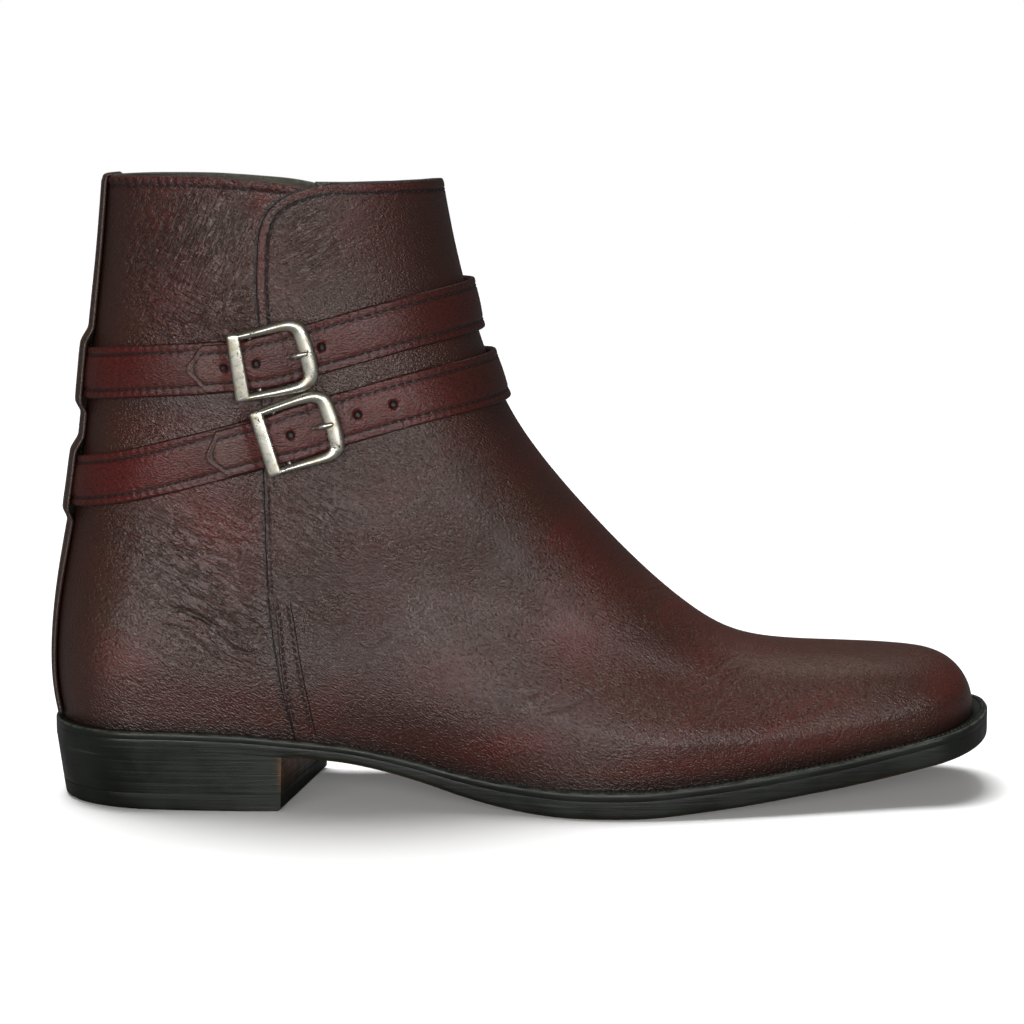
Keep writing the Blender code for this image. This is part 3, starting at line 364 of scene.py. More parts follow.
# ---------------------------------------------------------------- rings of the upper
def end_line():
    """From the feather edge at the toe, over the toe box and up the instep to the collar."""
    z0 = float(welt_top(TOE_TIP))
    t = np.linspace(0, math.pi / 2, 60)
    z = TOE_CORNER_BASE + (TOE_CORNER_TOP - TOE_CORNER_BASE) * np.sin(t) ** (2 / TOE_CORNER_POWER)
    z = z[z > z0 + 0.2]
    toe = np.stack([toe_x(np.append([z0], z)), np.append([z0], z)], 1)
    top = FRONT_LINE[::-1, :2]
    top = top[(top[:, 0] < toe[-1, 0] - 0.3) & (top[:, 1] < COLLAR_FRONT)]
    line = np.concatenate([toe, top])
    s = np.concatenate([[0], np.cumsum(np.hypot(*np.diff(line, axis=0).T))])
    return line, s


END_LINE, END_S = end_line()
RING_ROWS = [
    # share of the ring stack, how far along the toe-to-collar line (mm), back height (mm)
    (0.00, 0.0, 25.9),
    (0.08, 6.0, 31.0),
    (0.16, 13.0, 37.5),
    (0.24, 24.0, 45.0),
    (0.34, 50.0, 56.0),
    (0.46, 96.0, 70.0),
    (0.58, 145.0, 88.0),
    (0.70, 195.0, 112.0),
    (0.85, 248.0, 155.0),
    (1.00, END_S[-1], COLLAR_BACK),
]


def ring_trace(v, n):
    """Side view of one ring: n points from the back of the boot to its front."""
    sf = float(table(RING_ROWS, 1, v, monotone))
    zb = float(table(RING_ROWS, 2, v, monotone))
    f = np.array([np.interp(sf, END_S, END_LINE[:, k]) for k in (0, 1)])
    g = np.array([np.interp(min(sf + 1.5, END_S[-1]), END_S, END_LINE[:, k])
                  - np.interp(max(sf - 1.5, 0), END_S, END_LINE[:, k]) for k in (0, 1)])
    g /= np.hypot(*g)
    inward = np.array([-g[1], g[0]])     # square to the profile, into the boot
    b = np.array([float(table(SHAFT, 1, zb)), zb])
    span = np.hypot(*(f - b))
    reach = 13.0 + (0.38 * span - 13.0) * smooth((f[1] - 45) / 90)
    if f[1] < 45 and inward[0] < -0.5:
        reach = 18.0
    c1, c2 = b + [0.35 * span, 0], f + inward * reach
    t = (1 - np.cos(np.linspace(0, math.pi, n))) / 2
    a = np.stack([(1 - t) ** 3, 3 * t * (1 - t) ** 2, 3 * t * t * (1 - t), t**3], 1)
    trace = a @ np.stack([b, c1, c2, f])
    # the lowest ring is the feather edge, and the rings above it straighten out by degrees
    b0 = np.array([float(table(SHAFT, 1, welt_top(2.6))), float(welt_top(2.6))])
    xs = b0[0] + (TOE_TIP - b0[0]) * t
    edge = np.stack([xs, welt_top(xs)], 1)
    if v < 0.62:
        first = ring_bezier_zero(t)
        trace = trace + (edge - first) * (1 - smooth(v / 0.62)) ** 1.0
    return trace


def ring_bezier_zero(t):
    b = np.array([float(table(SHAFT, 1, 25.9)), 25.9])
    f = END_LINE[0]
    span = np.hypot(*(f - b))
    c1, c2 = b + [0.35 * span, 0], f + np.array([-18.0, 0])
    a = np.stack([(1 - t) ** 3, 3 * t * (1 - t) ** 2, 3 * t * t * (1 - t), t**3], 1)
    return a @ np.stack([b, c1, c2, f])


def half_ring(v, inner, n=420):
    """One side of a ring as a fine line in space, from back to front."""
    tr = ring_trace(v, n)
    x, z = tr[:, 0].copy(), tr[:, 1].copy()
    if v > 0.8:
        top = ring_trace(1.0, n)
        share = (x - table(SHAFT, 1, z)) / (front_x(z) - table(SHAFT, 1, z))
        z += (table(COLLAR, 1, top[:, 0]) - top[:, 1]) * smooth((v - 0.8) / 0.2)
        x = table(SHAFT, 1, z) + share * (front_x(z) - table(SHAFT, 1, z))
    y = surface_y(x, z, inner)
    for k in (0, -1):
        y[k] = float(ridge(x[k])) * (1 - float(smooth((z[k] - 90) / 50)))
    return np.stack([x, y, z], 1)


def at_shares(line, shares):
    s = np.concatenate([[0], np.cumsum(np.linalg.norm(np.diff(line, axis=0), axis=1))])
    return np.stack([np.interp(shares * s[-1], s, line[:, k]) for k in range(3)], 1)


def ring_shares(n):
    """Where a ring's points lie, closer together round the heel and the toe."""
    t = np.linspace(0, 1, n + 1)
    return t - 0.055 * np.sin(2 * math.pi * t)


def ring(v, n):
    """A closed ring: back, outer side, front, inner side."""
    sh = ring_shares(n)
    outer = at_shares(half_ring(v, False), sh)
    inner = at_shares(half_ring(v, True), sh)
    return np.concatenate([outer, inner[-2:0:-1]])


# ---------------------------------------------------------------- places on the part
MM = 0.001


def to_row(points):
    p = np.asarray(points, float)
    return (p - [HEEL_CENTRE, 0, 0]) * MM


def plan_normals(loop):
    """Outward direction in plan at each point of a closed loop seen from above."""
    ahead, behind = np.roll(loop, -1, 0), np.roll(loop, 1, 0)
    t = ahead[:, :2] - behind[:, :2]
    t /= np.linalg.norm(t, axis=1)[:, None]
    return np.stack([t[:, 1], -t[:, 0], np.zeros(len(loop))], 1) * (
        -1 if signed_area(loop) < 0 else 1)


def signed_area(loop):
    x, y = loop[:, 0], loop[:, 1]
    return 0.5 * float((x * np.roll(y, -1) - np.roll(x, -1) * y).sum())


def outset(loop, by):
    return loop + plan_normals(loop) * by


def stations(n, lo, hi, end):
    """x of n + 1 places from lo to hi, crowded over the last few millimetres at both ends."""
    t = np.linspace(0, 1, n + 1)
    t = t - end * np.sin(2 * math.pi * t) / (2 * math.pi)
    return lo + (hi - lo) * t


def outline_sides(inset, n):
    """x, outer y and inner y of the sole's outline, drawn in by inset."""
    lo, hi = inset, SOLE_LENGTH - inset
    t = (1 - np.cos(np.linspace(0, math.pi, n + 1))) / 2
    u = stations(n, 0, 1, 0.88)
    t = 0.35 * t + 0.65 * u
    x = lo + (hi - lo) * t
    for flat in FLAT_SPOT:
        x[np.argmin(abs(x - flat))] = flat
    mid = table(OUTLINE, 3, x)
    back = rounding(x - lo, 31.0, BACK_POWER)
    sides = []
    for j, sign, r_toe, power_toe in ((1, -1, 21.0, 2.1), (2, 1, 14.0, 2.6)):
        e = back * rounding(hi - x, r_toe, power_toe)
        y = mid + (sign * (table(OUTLINE, j, x) - inset) - mid) * e
        y[[0, -1]] = mid[[0, -1]]
        sides.append(y)
    return x, sides[0], sides[1]


def resample_closed_to(edge, loop):
    """The point of the edge that lies straight out from each point of the loop."""
    out = []
    e = np.concatenate([edge, edge[:1]])
    normals = plan_normals(loop)
    for p, nrm in zip(loop, normals):
        best = None
        for a, b in zip(e[:-1], e[1:]):
            d = b[:2] - a[:2]
            den = nrm[0] * d[1] - nrm[1] * d[0]
            if abs(den) < 1e-9:
                continue
            w = a[:2] - p[:2]
            s = (w[0] * d[1] - w[1] * d[0]) / den
            t = (w[0] * nrm[1] - w[1] * nrm[0]) / den
            if s > 0 and -1e-6 <= t <= 1 + 1e-6 and (best is None or s < best[0]):
                best = (s, a + t * (b - a))
        out.append(best[1])
    return np.array(out)


HEEL_BREAST = (75.5, 86.5)   # x at the outer and the inner edge of the heel's front


def heel_sides(inset_back, inset_side, breast_shift, n):
    """Heel outline at one level: rounded back, sides, and the slanting front at the last place.
    The sides are drawn in at the back only, so the heel is as wide as the sole at its front."""
    lo = inset_back
    t = np.linspace(0, 1, n + 1)
    t = t - 0.10 * np.sin(2 * math.pi * t) * (t < 0.5) * 1.0
    outer, inner = [], []
    for side, hi in ((0, HEEL_BREAST[0]), (1, HEEL_BREAST[1])):
        x = lo + (hi + breast_shift - lo) * t**1.6
        e = rounding(x - lo, 31.0, BACK_POWER)
        y = (table(OUTLINE, 1 + side, x) - inset_side * (1 - smooth(x / 74.0))) * e
        (inner if side else outer).append(np.stack([x, y if side else -y], 1))
    return outer[0], inner[0]


def strap_line(which, n=240):
    """The strap's middle on the upper: from the back round the outer side to the front, and back along the inner side.
    Gives points, the direction along, up across the strap, and out of the upper, and the distance along."""
    rows = STRAPS[which]

    def side(dz, inner):
        zb, zf = rows[0][1] + dz, rows[-1][1] + dz
        xb = float(table(SHAFT, 1, zb))
        k = int(np.argmin(abs(FRONT_LINE[:, 1] - zf)))
        xf = float(FRONT_LINE[k, 0])
        t = (1 - np.cos(np.linspace(0, math.pi, n))) / 2
        x = xb + (xf - xb) * t
        u = rows[0][0] + (rows[-1][0] - rows[0][0]) * t
        z = table(rows, 2 if inner else 1, u) + dz
        y = surface_y(x, z, inner)
        y[0] = y[-1] = 0.0
        return np.stack([x, y, z], 1)

    def loop(dz):
        o, i = side(dz, False), side(dz, True)
        return np.concatenate([o, i[-2:0:-1]])
    mid, hi, lo = loop(0.0), loop(4.0), loop(-4.0)
    # directions are read over a few places each way, because the places crowd at the back and the front
    tangent = np.roll(mid, -6, 0) - np.roll(mid, 6, 0)
    tangent /= np.linalg.norm(tangent, axis=1)[:, None]
    across = hi - lo
    across = sum(np.roll(across, k, 0) for k in range(-4, 5))
    across -= (across * tangent).sum(1)[:, None] * tangent
    across /= np.linalg.norm(across, axis=1)[:, None]
    out = np.cross(tangent, across)
    centre = mid.mean(0)
    if ((mid - centre) * out).sum() < 0:
        out = -out
    s = np.concatenate([[0], np.cumsum(np.linalg.norm(np.diff(np.concatenate([mid, mid[:1]]), axis=0), axis=1))])
    return mid, tangent, across, out, s


class Band:
    """Places a point given along, across and out from a strap's line."""

    def __init__(self, which):
        self.mid, self.t, self.b, self.n, self.s = strap_line(which)
        self.length = self.s[-1]
        self.front = self.s[239]
        self.which = which

    def frame(self, s):
        s = np.mod(np.asarray(s, float), self.length)
        out = []
        for a in (self.mid, self.t, self.b, self.n):
            ring_a = np.concatenate([a, a[:1]])
            out.append(np.stack([np.interp(s, self.s, ring_a[:, k]) for k in range(3)], -1))
        for k in (1, 2, 3):
            out[k] = out[k] / np.linalg.norm(out[k], axis=-1)[..., None]
        return out

    def flare(self, s):
        """The strap stands off at its upper edge where it rounds the shin."""
        d = np.abs(np.mod(np.asarray(s, float), self.length) - self.front)
        return np.exp(-(d / 26.0) ** 2)

    def place(self, s, across, out):
        c, _, b, n = self.frame(s)
        across, out = np.asarray(across, float), np.asarray(out, float)
        lift = self.flare(s) * (0.25 + 0.075 * np.clip(across + 5, 0, None))
        return c + b * across[..., None] + n * (out + lift)[..., None]

    def at_x(self, x):
        """Distance along to a place on the outer side."""
        half = self.mid[:240]
        return float(np.interp(x, half[:, 0], self.s[:240]))


REST = 0.5                # underside of a strap over the upper


def buckle_places(band, which):
    x_mid, x_tip = BUCKLES[which]
    s_mid = band.at_x(x_mid)
    return s_mid, band.at_x(x_tip)


FRAME_CURVE = [
    # inner edge: along, across; outer edge: along, across, from the window's middle; one half, top to front
    (-9.4, 8.6, -9.4, 10.5),
    (-4.0, 8.6, -4.0, 10.6),
    (1.0, 8.6, 1.0, 10.8),
    (5.6, 8.6, 6.2, 11.2),
    (7.4, 8.5, 9.6, 10.6),
    (8.3, 7.6, 11.8, 8.4),
    (8.4, 5.6, 12.6, 5.6),
    (8.4, 2.8, 12.8, 2.8),
    (8.4, 0.0, 12.8, 0.0),
]


def frame_lift(s_mid, half):
    """Height of the frame's underside along the strap."""
    keys = [s_mid - half - 5, s_mid - half - 2, s_mid - half + 3, s_mid + half - 3, s_mid + half + 2, s_mid + half + 5]
    lift = [REST + 6.1, REST + 6.1, REST + 5.3, REST + 4.5, REST + 4.2, REST + 4.0]
    return lambda s: monotone(keys, lift, s)


def back_point(y, z, out):
    """A point on the back of the upper, out from its surface."""
    def x_of(y, z):
        w = half_width(np.full(np.shape(z), 15.0), z, False)
        r = table(SHAFT, 2, z)
        e = np.clip(np.abs(y) / w, 0, 0.999)
        return table(SHAFT, 1, z) + r * (1 - (1 - e**BACK_POWER) ** (1 / BACK_POWER))
    y, z = np.asarray(y, float), np.asarray(z, float)
    x = x_of(y, z)
    nx = np.stack([-np.ones_like(x), (x_of(y + 0.5, z) - x_of(y - 0.5, z)), (x_of(y, z + 0.5) - x_of(y, z - 0.5))], -1)
    nx /= np.linalg.norm(nx, axis=-1)[..., None]
    return np.stack([x, y, z], -1) + nx * np.asarray(out)[..., None]


def backstay_rows():
    """Height up the back and distance of the strip's underside from the upper."""
    over = REST + STRAP + 0.35
    zs = []
    for which in ("lower", "upper"):
        z = STRAPS[which][0][1]
        h = STRAP_WIDTH / 2
        zs += [(z - h - 5, 0.45), (z - h - 0.8, over - 0.1), (z - h + 3, over), (z + h - 3, over), (z + h + 0.8, over - 0.1), (z + h + 7, 0.45)]
    rows = [(28.5, 0.45), (36, 0.45), (46, 0.45), (58, 0.45), (72, 0.45), (84, 0.45)]
    rows += zs + [(165, 0.45), (178, 0.45), (189, 0.45), (196.0, 0.45)]
    return sorted(rows)


# ---------------------------------------------------------------- seams, collar edges and creases, in the boot's own sizes
# the flap's edge and the side seam below it, from the sole up to the collar, seen from the side
SEAM = [
    # x, z
    (80.0, 17.0), (79.4, 23.1), (78.6, 26.8), (75.7, 39.0), (73.3, 54.8), (71.9, 68.1), (71.1, 85.8),
    (70.8, 107.4), (70.5, 130.0), (70.0, 156.8), (69.5, 163.3), (69.6, 172.0), (70.1, 180.4),
    (70.6, 183.7), (71.7, 187.1), (73.2, 189.9), (75.4, 192.3), (78.4, 194.4), (82.6, 196.3),
    (87.6, 197.8), (93.3, 198.7),
]
FRONT_COLLAR = [
    # x, z of the flap's top edge, carried back to the heel for the rings' sake
    (19.0, 198.7), (60.0, 198.7), (93.3, 198.7), (110.0, 199.0), (128.0, 199.15),
]
REAR_COLLAR = [
    # x, z of the quarter's top edge, which goes on under the flap
    (19.0, 200.2), (34.0, 200.7), (48.0, 200.8), (58.0, 200.4), (66.0, 199.8), (74.0, 199.1),
    (84.0, 197.4), (96.0, 194.0), (128.0, 192.0),
]
# how much lower the inner side's edges are
FRONT_DROP = [(19.0, 2.0), (93.3, 2.0), (110.0, 1.7), (120.0, 1.0), (128.0, 0.0)]
REAR_DROP = [(19.0, 0.0), (34.0, 0.5), (48.0, 0.9), (58.0, 1.1), (128.0, 1.1)]
# the lining's upper edge, outer and inner side
LINING_OUTER = [(19.0, 199.7), (34.0, 200.1), (48.0, 200.2), (58.0, 199.8), (66.0, 199.1), (74.0, 198.2), (84.0, 196.0), (90.0, 196.6),
                (98.0, 197.9), (110.0, 198.5), (128.0, 198.7)]
LINING_INNER = [(19.0, 199.7), (34.0, 199.3), (48.0, 198.8), (58.0, 198.2), (66.0, 197.6), (74.0, 196.9), (84.0, 195.9), (96.0, 196.2),
                (110.0, 196.9), (120.0, 197.7), (128.0, 198.7)]
# narrow bar sewn over the seam's lower end: left and right edges
BAR_LEFT = [(73.2, 67.6), (73.9, 65.3), (75.2, 52.9), (77.2, 36.6), (79.4, 25.4)]
BAR_RIGHT = [(79.0, 67.9), (79.5, 65.0), (81.7, 50.7), (84.4, 35.4), (86.6, 24.0)]

CREASES = [
    # depth, half width, then x, z along the crease
    (0.62, 1.15, [(36.1, 66.4), (46.0, 64.5), (55.1, 58.9), (61.2, 52.3), (71.1, 49.7), (74.0, 47.0)]),
    (0.34, 0.9, [(36.9, 65.7), (44.4, 64.8), (49.2, 63.3), (55.1, 58.2)]),
    (0.42, 1.0, [(32.1, 61.9), (42.2, 59.1), (49.1, 55.0), (53.5, 51.2), (58.8, 47.4), (64.1, 44.8)]),
    (0.40, 1.1, [(38.5, 73.3), (49.2, 69.6), (55.2, 64.9), (61.1, 60.5), (71.2, 55.1)]),
    (0.26, 1.0, [(18.4, 86.7), (29.2, 85.3), (40.2, 84.7), (49.3, 84.1), (55.3, 82.5), (61.3, 80.4), (71.4, 78.8)]),
    (0.30, 1.0, [(35.6, 96.9), (43.1, 91.7), (49.4, 87.9), (60.1, 86.4), (70.8, 84.8)]),
    (0.22, 0.9, [(30.0, 100.5), (38.0, 95.5), (46.0, 90.6), (54.0, 84.0)]),
    (0.22, 0.9, [(44.0, 99.5), (52.0, 94.0), (61.0, 90.2), (70.6, 88.6)]),
    (0.20, 0.9, [(52.0, 80.5), (60.0, 74.0), (70.8, 68.5)]),
    (0.20, 0.9, [(46.0, 76.5), (55.0, 71.6), (63.0, 66.5), (71.4, 62.6)]),
    (0.20, 1.0, [(20.6, 56.5), (29.0, 55.4), (38.0, 51.0), (46.5, 46.0), (54.0, 42.6)]),
    (0.30, 1.0, [(149.9, 38.0), (154.7, 39.0), (159.1, 39.9)]),
    (0.30, 1.1, [(151.4, 30.6), (157.8, 33.3), (166.6, 35.7), (175.4, 39.0), (183.1, 40.4)]),
    (0.30, 1.1, [(208.7, 38.5), (214.2, 43.7), (222.6, 47.6)]),
    (0.20, 1.0, [(213.0, 37.0), (219.5, 41.5), (227.5, 44.6)]),
    (0.30, 1.2, [(104.9, 51.4), (108.7, 54.6), (113.1, 59.7)]),
    (0.22, 0.8, [(77.6, 104.0), (83.0, 100.2), (89.6, 95.0), (96.0, 91.6)]),
    (0.20, 0.8, [(76.8, 98.0), (82.0, 94.4), (88.0, 89.8)]),
    (0.16, 0.8, [(80.2, 71.0), (90.0, 71.6), (103.0, 72.6), (116.0, 73.0)]),
    (0.26, 0.9, [(40.0, 170.5), (47.0, 167.2), (52.6, 166.4)]),
    (0.24, 0.9, [(28.0, 197.4), (33.0, 190.5), (38.5, 183.5), (42.5, 177.0)]),
    (0.20, 0.8, [(24.5, 193.0), (30.0, 184.8), (35.5, 178.4)]),
    (0.22, 0.9, [(24.0, 121.6), (36.0, 122.6), (50.0, 124.6), (62.0, 127.0)]),
    (0.18, 0.8, [(22.0, 112.6), (30.0, 112.0), (36.5, 109.0)]),
]
# broad soft swellings (+) and hollows (-): x, z, half length, half height, turned by degrees, height
SWELLS = [
    (42.0, 160.0, 16.0, 14.0, 20.0, 0.55), (57.0, 178.0, 12.0, 16.0, 0.0, -0.40), (34.0, 182.0, 9.0, 12.0, 0.0, 0.35),
    (63.0, 148.0, 9.0, 7.0, 0.0, 0.35), (97.0, 178.0, 9.0, 22.0, -20.0, 0.45), (86.0, 170.0, 8.0, 18.0, 0.0, -0.25),
    (45.0, 92.0, 22.0, 9.0, -12.0, -0.55), (36.0, 72.0, 14.0, 12.0, 10.0, 0.45), (60.0, 66.0, 12.0, 5.5, -35.0, 0.55),
    (52.0, 45.0, 16.0, 6.0, -22.0, 0.40), (95.0, 92.0, 14.0, 11.0, 20.0, 0.45), (112.0, 66.0, 12.0, 9.0, 45.0, -0.60),
    (122.0, 84.0, 10.0, 16.0, -30.0, 0.40), (128.0, 58.0, 9.0, 14.0, -20.0, 0.45), (146.0, 50.0, 8.0, 15.0, -18.0, 0.60),
    (158.0, 56.0, 6.0, 13.0, -28.0, -0.50), (138.0, 74.0, 6.0, 13.0, -28.0, -0.40), (150.0, 78.0, 6.0, 13.0, -30.0, 0.40),
    (104.0, 112.0, 16.0, 8.0, 20.0, 0.40), (168.0, 40.0, 9.0, 8.0, 10.0, 0.40), (196.0, 42.0, 14.0, 7.0, 15.0, -0.35),
    (118.0, 40.0, 16.0, 8.0, 0.0, -0.35), (96.0, 88.0, 20.0, 9.0, 12.0, 1.7), (97.0, 56.0, 18.0, 10.0, 0.0, -1.7),
    (22.0, 66.0, 16.0, 20.0, 0.0, 0.5), (30.0, 40.0, 26.0, 8.0, 0.0, -0.6),
]


def smooth_line(points, step=0.8):
    """A smooth line through places in the side view."""
    p = np.asarray(points, float)
    t = np.concatenate([[0], np.cumsum(np.hypot(*np.diff(p, axis=0).T))])
    u = np.linspace(0, t[-1], max(3, int(t[-1] / step) + 1))
    if len(p) < 3:
        return np.stack([np.interp(u, t, p[:, k]) for k in (0, 1)], 1)
    return np.stack([spline(t, p[:, k], u) for k in (0, 1)], 1)


def line_distance(x, z, line):
    """Distance from places in the side view to a line, and how far along the line the nearest point is."""
    x, z = np.asarray(x, float), np.asarray(z, float)
    best = np.full(x.shape, 1e9)
    along = np.zeros(x.shape)
    total = 0.0
    for a, b in zip(line[:-1], line[1:]):
        d = b - a
        length = math.hypot(*d)
        t = np.clip(((x - a[0]) * d[0] + (z - a[1]) * d[1]) / length**2, 0, 1)
        q = np.hypot(x - a[0] - t * d[0], z - a[1] - t * d[1])
        near = q < best
        best = np.where(near, q, best)
        along = np.where(near, total + t * length, along)
        total += length
    return best, along, total


def stroke(out, x, z, line, depth, width):
    """Adds one crease to out: a trough with a low ridge on each side, fading at both ends."""
    reach = 5 * width
    lo, hi = line.min(0) - reach, line.max(0) + reach
    m = (x > lo[0]) & (x < hi[0]) & (z > lo[1]) & (z < hi[1])
    if not m.any():
        return
    d, s, total = line_distance(x[m], z[m], line)
    fade = smooth(s / (0.3 * total)) * smooth((total - s) / (0.35 * total))
    shape = 0.42 * np.exp(-((d - 1.9 * width) / (1.15 * width)) ** 2) - np.exp(-(d / width) ** 2)
    out[m] += fade * depth * shape


def wrinkles(out, x, z, seed, count, middle, spread, angle, angle_spread, length, depth, width):
    """Many short fine creases round a place, mostly in one direction."""
    rng = np.random.default_rng(seed)
    for _ in range(count):
        c = np.array(middle) + rng.normal(0, 1, 2) * np.array(spread)
        a = math.radians(angle + rng.normal(0, angle_spread))
        half = 0.5 * length * rng.uniform(0.5, 1.3)
        bend = rng.normal(0, 0.12)
        t = np.linspace(-1, 1, 7)
        along, off = t * half, bend * half * (1 - t * t) + rng.normal(0, 0.05 * half, 7)
        line = np.stack([c[0] + along * math.cos(a) - off * math.sin(a), c[1] + along * math.sin(a) + off * math.cos(a)], 1)
        stroke(out, x, z, line, depth * rng.uniform(0.5, 1.2), width * rng.uniform(0.8, 1.2))


def swell_field(x, z, rows):
    out = np.zeros(np.shape(x))
    for cx, cz, rx, rz, angle, height in rows:
        a = math.radians(angle)
        u = (x - cx) * math.cos(a) + (z - cz) * math.sin(a)
        w = -(x - cx) * math.sin(a) + (z - cz) * math.cos(a)
        out += height * np.exp(-0.5 * ((u / rx) ** 2 + (w / rz) ** 2) * 1.6)
    return out


FLAP_EDGE = np.concatenate([smooth_line(SEAM[1:], 1.5), np.array(FRONT_COLLAR[3:], float)])
SEAM_LINE = smooth_line(SEAM[1:], 1.5)
REAR_EDGE = smooth_line(REAR_COLLAR, 1.5)
STITCH_PITCH = 2.7
REAR_ROW = 3.1            # the quarter's collar row, in from the edge


def seam_x(z):
    return np.interp(z, [p[1] for p in SEAM], [p[0] for p in SEAM])


def groove(d, at, depth=0.28, width=0.55):
    return -depth * np.exp(-((d - at) / width) ** 2)


def pucker(d, s, near, far, height, pitch=STITCH_PITCH):
    """Leather drawn in at each stitch: ripples across a strip between two distances."""
    mask = smooth((d - near) / 0.8) * smooth((far - d) / 0.8)
    return height * mask * (0.5 + 0.5 * np.cos(2 * math.pi * s / pitch))


def dropped(z, x, drop):
    """Height read against the inner side's lower edge."""
    return z + np.interp(x, column(drop, 0), column(drop, 1)) * smooth((z - 150) / 45)


def collar_ring(v, inner, edge, drop=None, n=900):
    """half_ring with its own collar edge."""
    tr = ring_trace(v, n)
    x, z = tr[:, 0].copy(), tr[:, 1].copy()
    if v > 0.8:
        top = ring_trace(1.0, n)
        share = (x - table(SHAFT, 1, z)) / (front_x(z) - table(SHAFT, 1, z))
        high = table(edge, 1, np.clip(top[:, 0], edge[0][0], edge[-1][0]), monotone)
        if inner and drop is not None:
            high = high - np.interp(top[:, 0], column(drop, 0), column(drop, 1))
        z += (high - top[:, 1]) * smooth((v - 0.8) / 0.2)
        x = table(SHAFT, 1, z) + share * (front_x(z) - table(SHAFT, 1, z))
    y = surface_y(x, z, inner)
    for k in (0, -1):
        y[k] = float(ridge(x[k])) * (1 - float(smooth((z[k] - 90) / 50)))
    return np.stack([x, y, z], 1)


def arc(line):
    return np.concatenate([[0], np.cumsum(np.linalg.norm(np.diff(line, axis=0), axis=1))])


def at_arc(line, s, where):
    return np.stack([np.interp(where, s, line[:, k]) for k in range(3)], 1)


def seam_arc(line, s):
    """Where a ring crosses the seam, as a distance along the ring from the back."""
    f = line[:, 0] - seam_x(line[:, 2])
    k = int(np.argmax(f > 0))
    if k == 0:
        return s[0]
    w = -f[k - 1] / (f[k] - f[k - 1])
    return s[k - 1] + w * (s[k] - s[k - 1])


def grid_normals(g):
    du = np.gradient(g, axis=1)
    dv = np.gradient(g, axis=0)
    n = np.cross(du, dv)
    n /= np.maximum(np.linalg.norm(n, axis=2), 1e-12)[..., None]
    return n


def grid_faces(rows, cols, base=0, flip=False):
    r, c = np.meshgrid(np.arange(rows - 1), np.arange(cols - 1), indexing="ij")
    a = (base + r * cols + c).ravel()
    b, d, e = a + 1, a + cols + 1, a + cols
    quad = [a, e, d, b] if flip else [a, b, d, e]
    return np.stack(quad, 1)


def add_mesh(name, verts, faces, mat, attributes=None, smooth_angle=None):
    mesh = bpy.data.meshes.new(name)
    verts = np.asarray(verts, float)
    faces = [tuple(int(i) for i in f) for f in faces] if not isinstance(faces, np.ndarray) else faces.tolist()
    mesh.from_pydata(verts.tolist(), [], faces)
    mesh.update()
    for key, values in (attributes or {}).items():
        a = mesh.attributes.new(key, "FLOAT", "POINT")
        a.data.foreach_set("value", np.asarray(values, np.float32).ravel())
    mesh.materials.append(mat)
    mesh.shade_smooth()
    if smooth_angle:
        mesh.set_sharp_from_angle(angle=math.radians(smooth_angle))
    obj = bpy.data.objects.new(name, mesh)
    bpy.context.scene.collection.objects.link(obj)
    return obj


def outline_faces_out(obj):
    bm = bmesh.new()
    bm.from_mesh(obj.data)
    bmesh.ops.recalc_face_normals(bm, faces=bm.faces)
    bm.to_mesh(obj.data)
    bm.free()
    return obj


# ---------------------------------------------------------------- relief of the upper
def drawn_creases(out, x, z, vamp, wider=1.0):
    """The listed creases, on the panel that they lie on."""
    for depth, width, pts in CREASES:
        middle = sum(p[0] for p in pts) / len(pts)
        if (middle > seam_x(pts[0][1])) == vamp:
            stroke(out, x, z, smooth_line(pts), depth * 0.62, width * 0.8 * wider)


def crease_painted_shade(x, z, vamp, columns):
    """Painted shade in the creases: darker along each one."""
    out = np.zeros(x.shape)
    part = np.zeros(x[:, columns].shape)
    drawn_creases(part, x[:, columns], z[:, columns], vamp, 0.75)
    out[:, columns] = 0.8 * smooth((-part - 0.03) / 0.28)
    return out


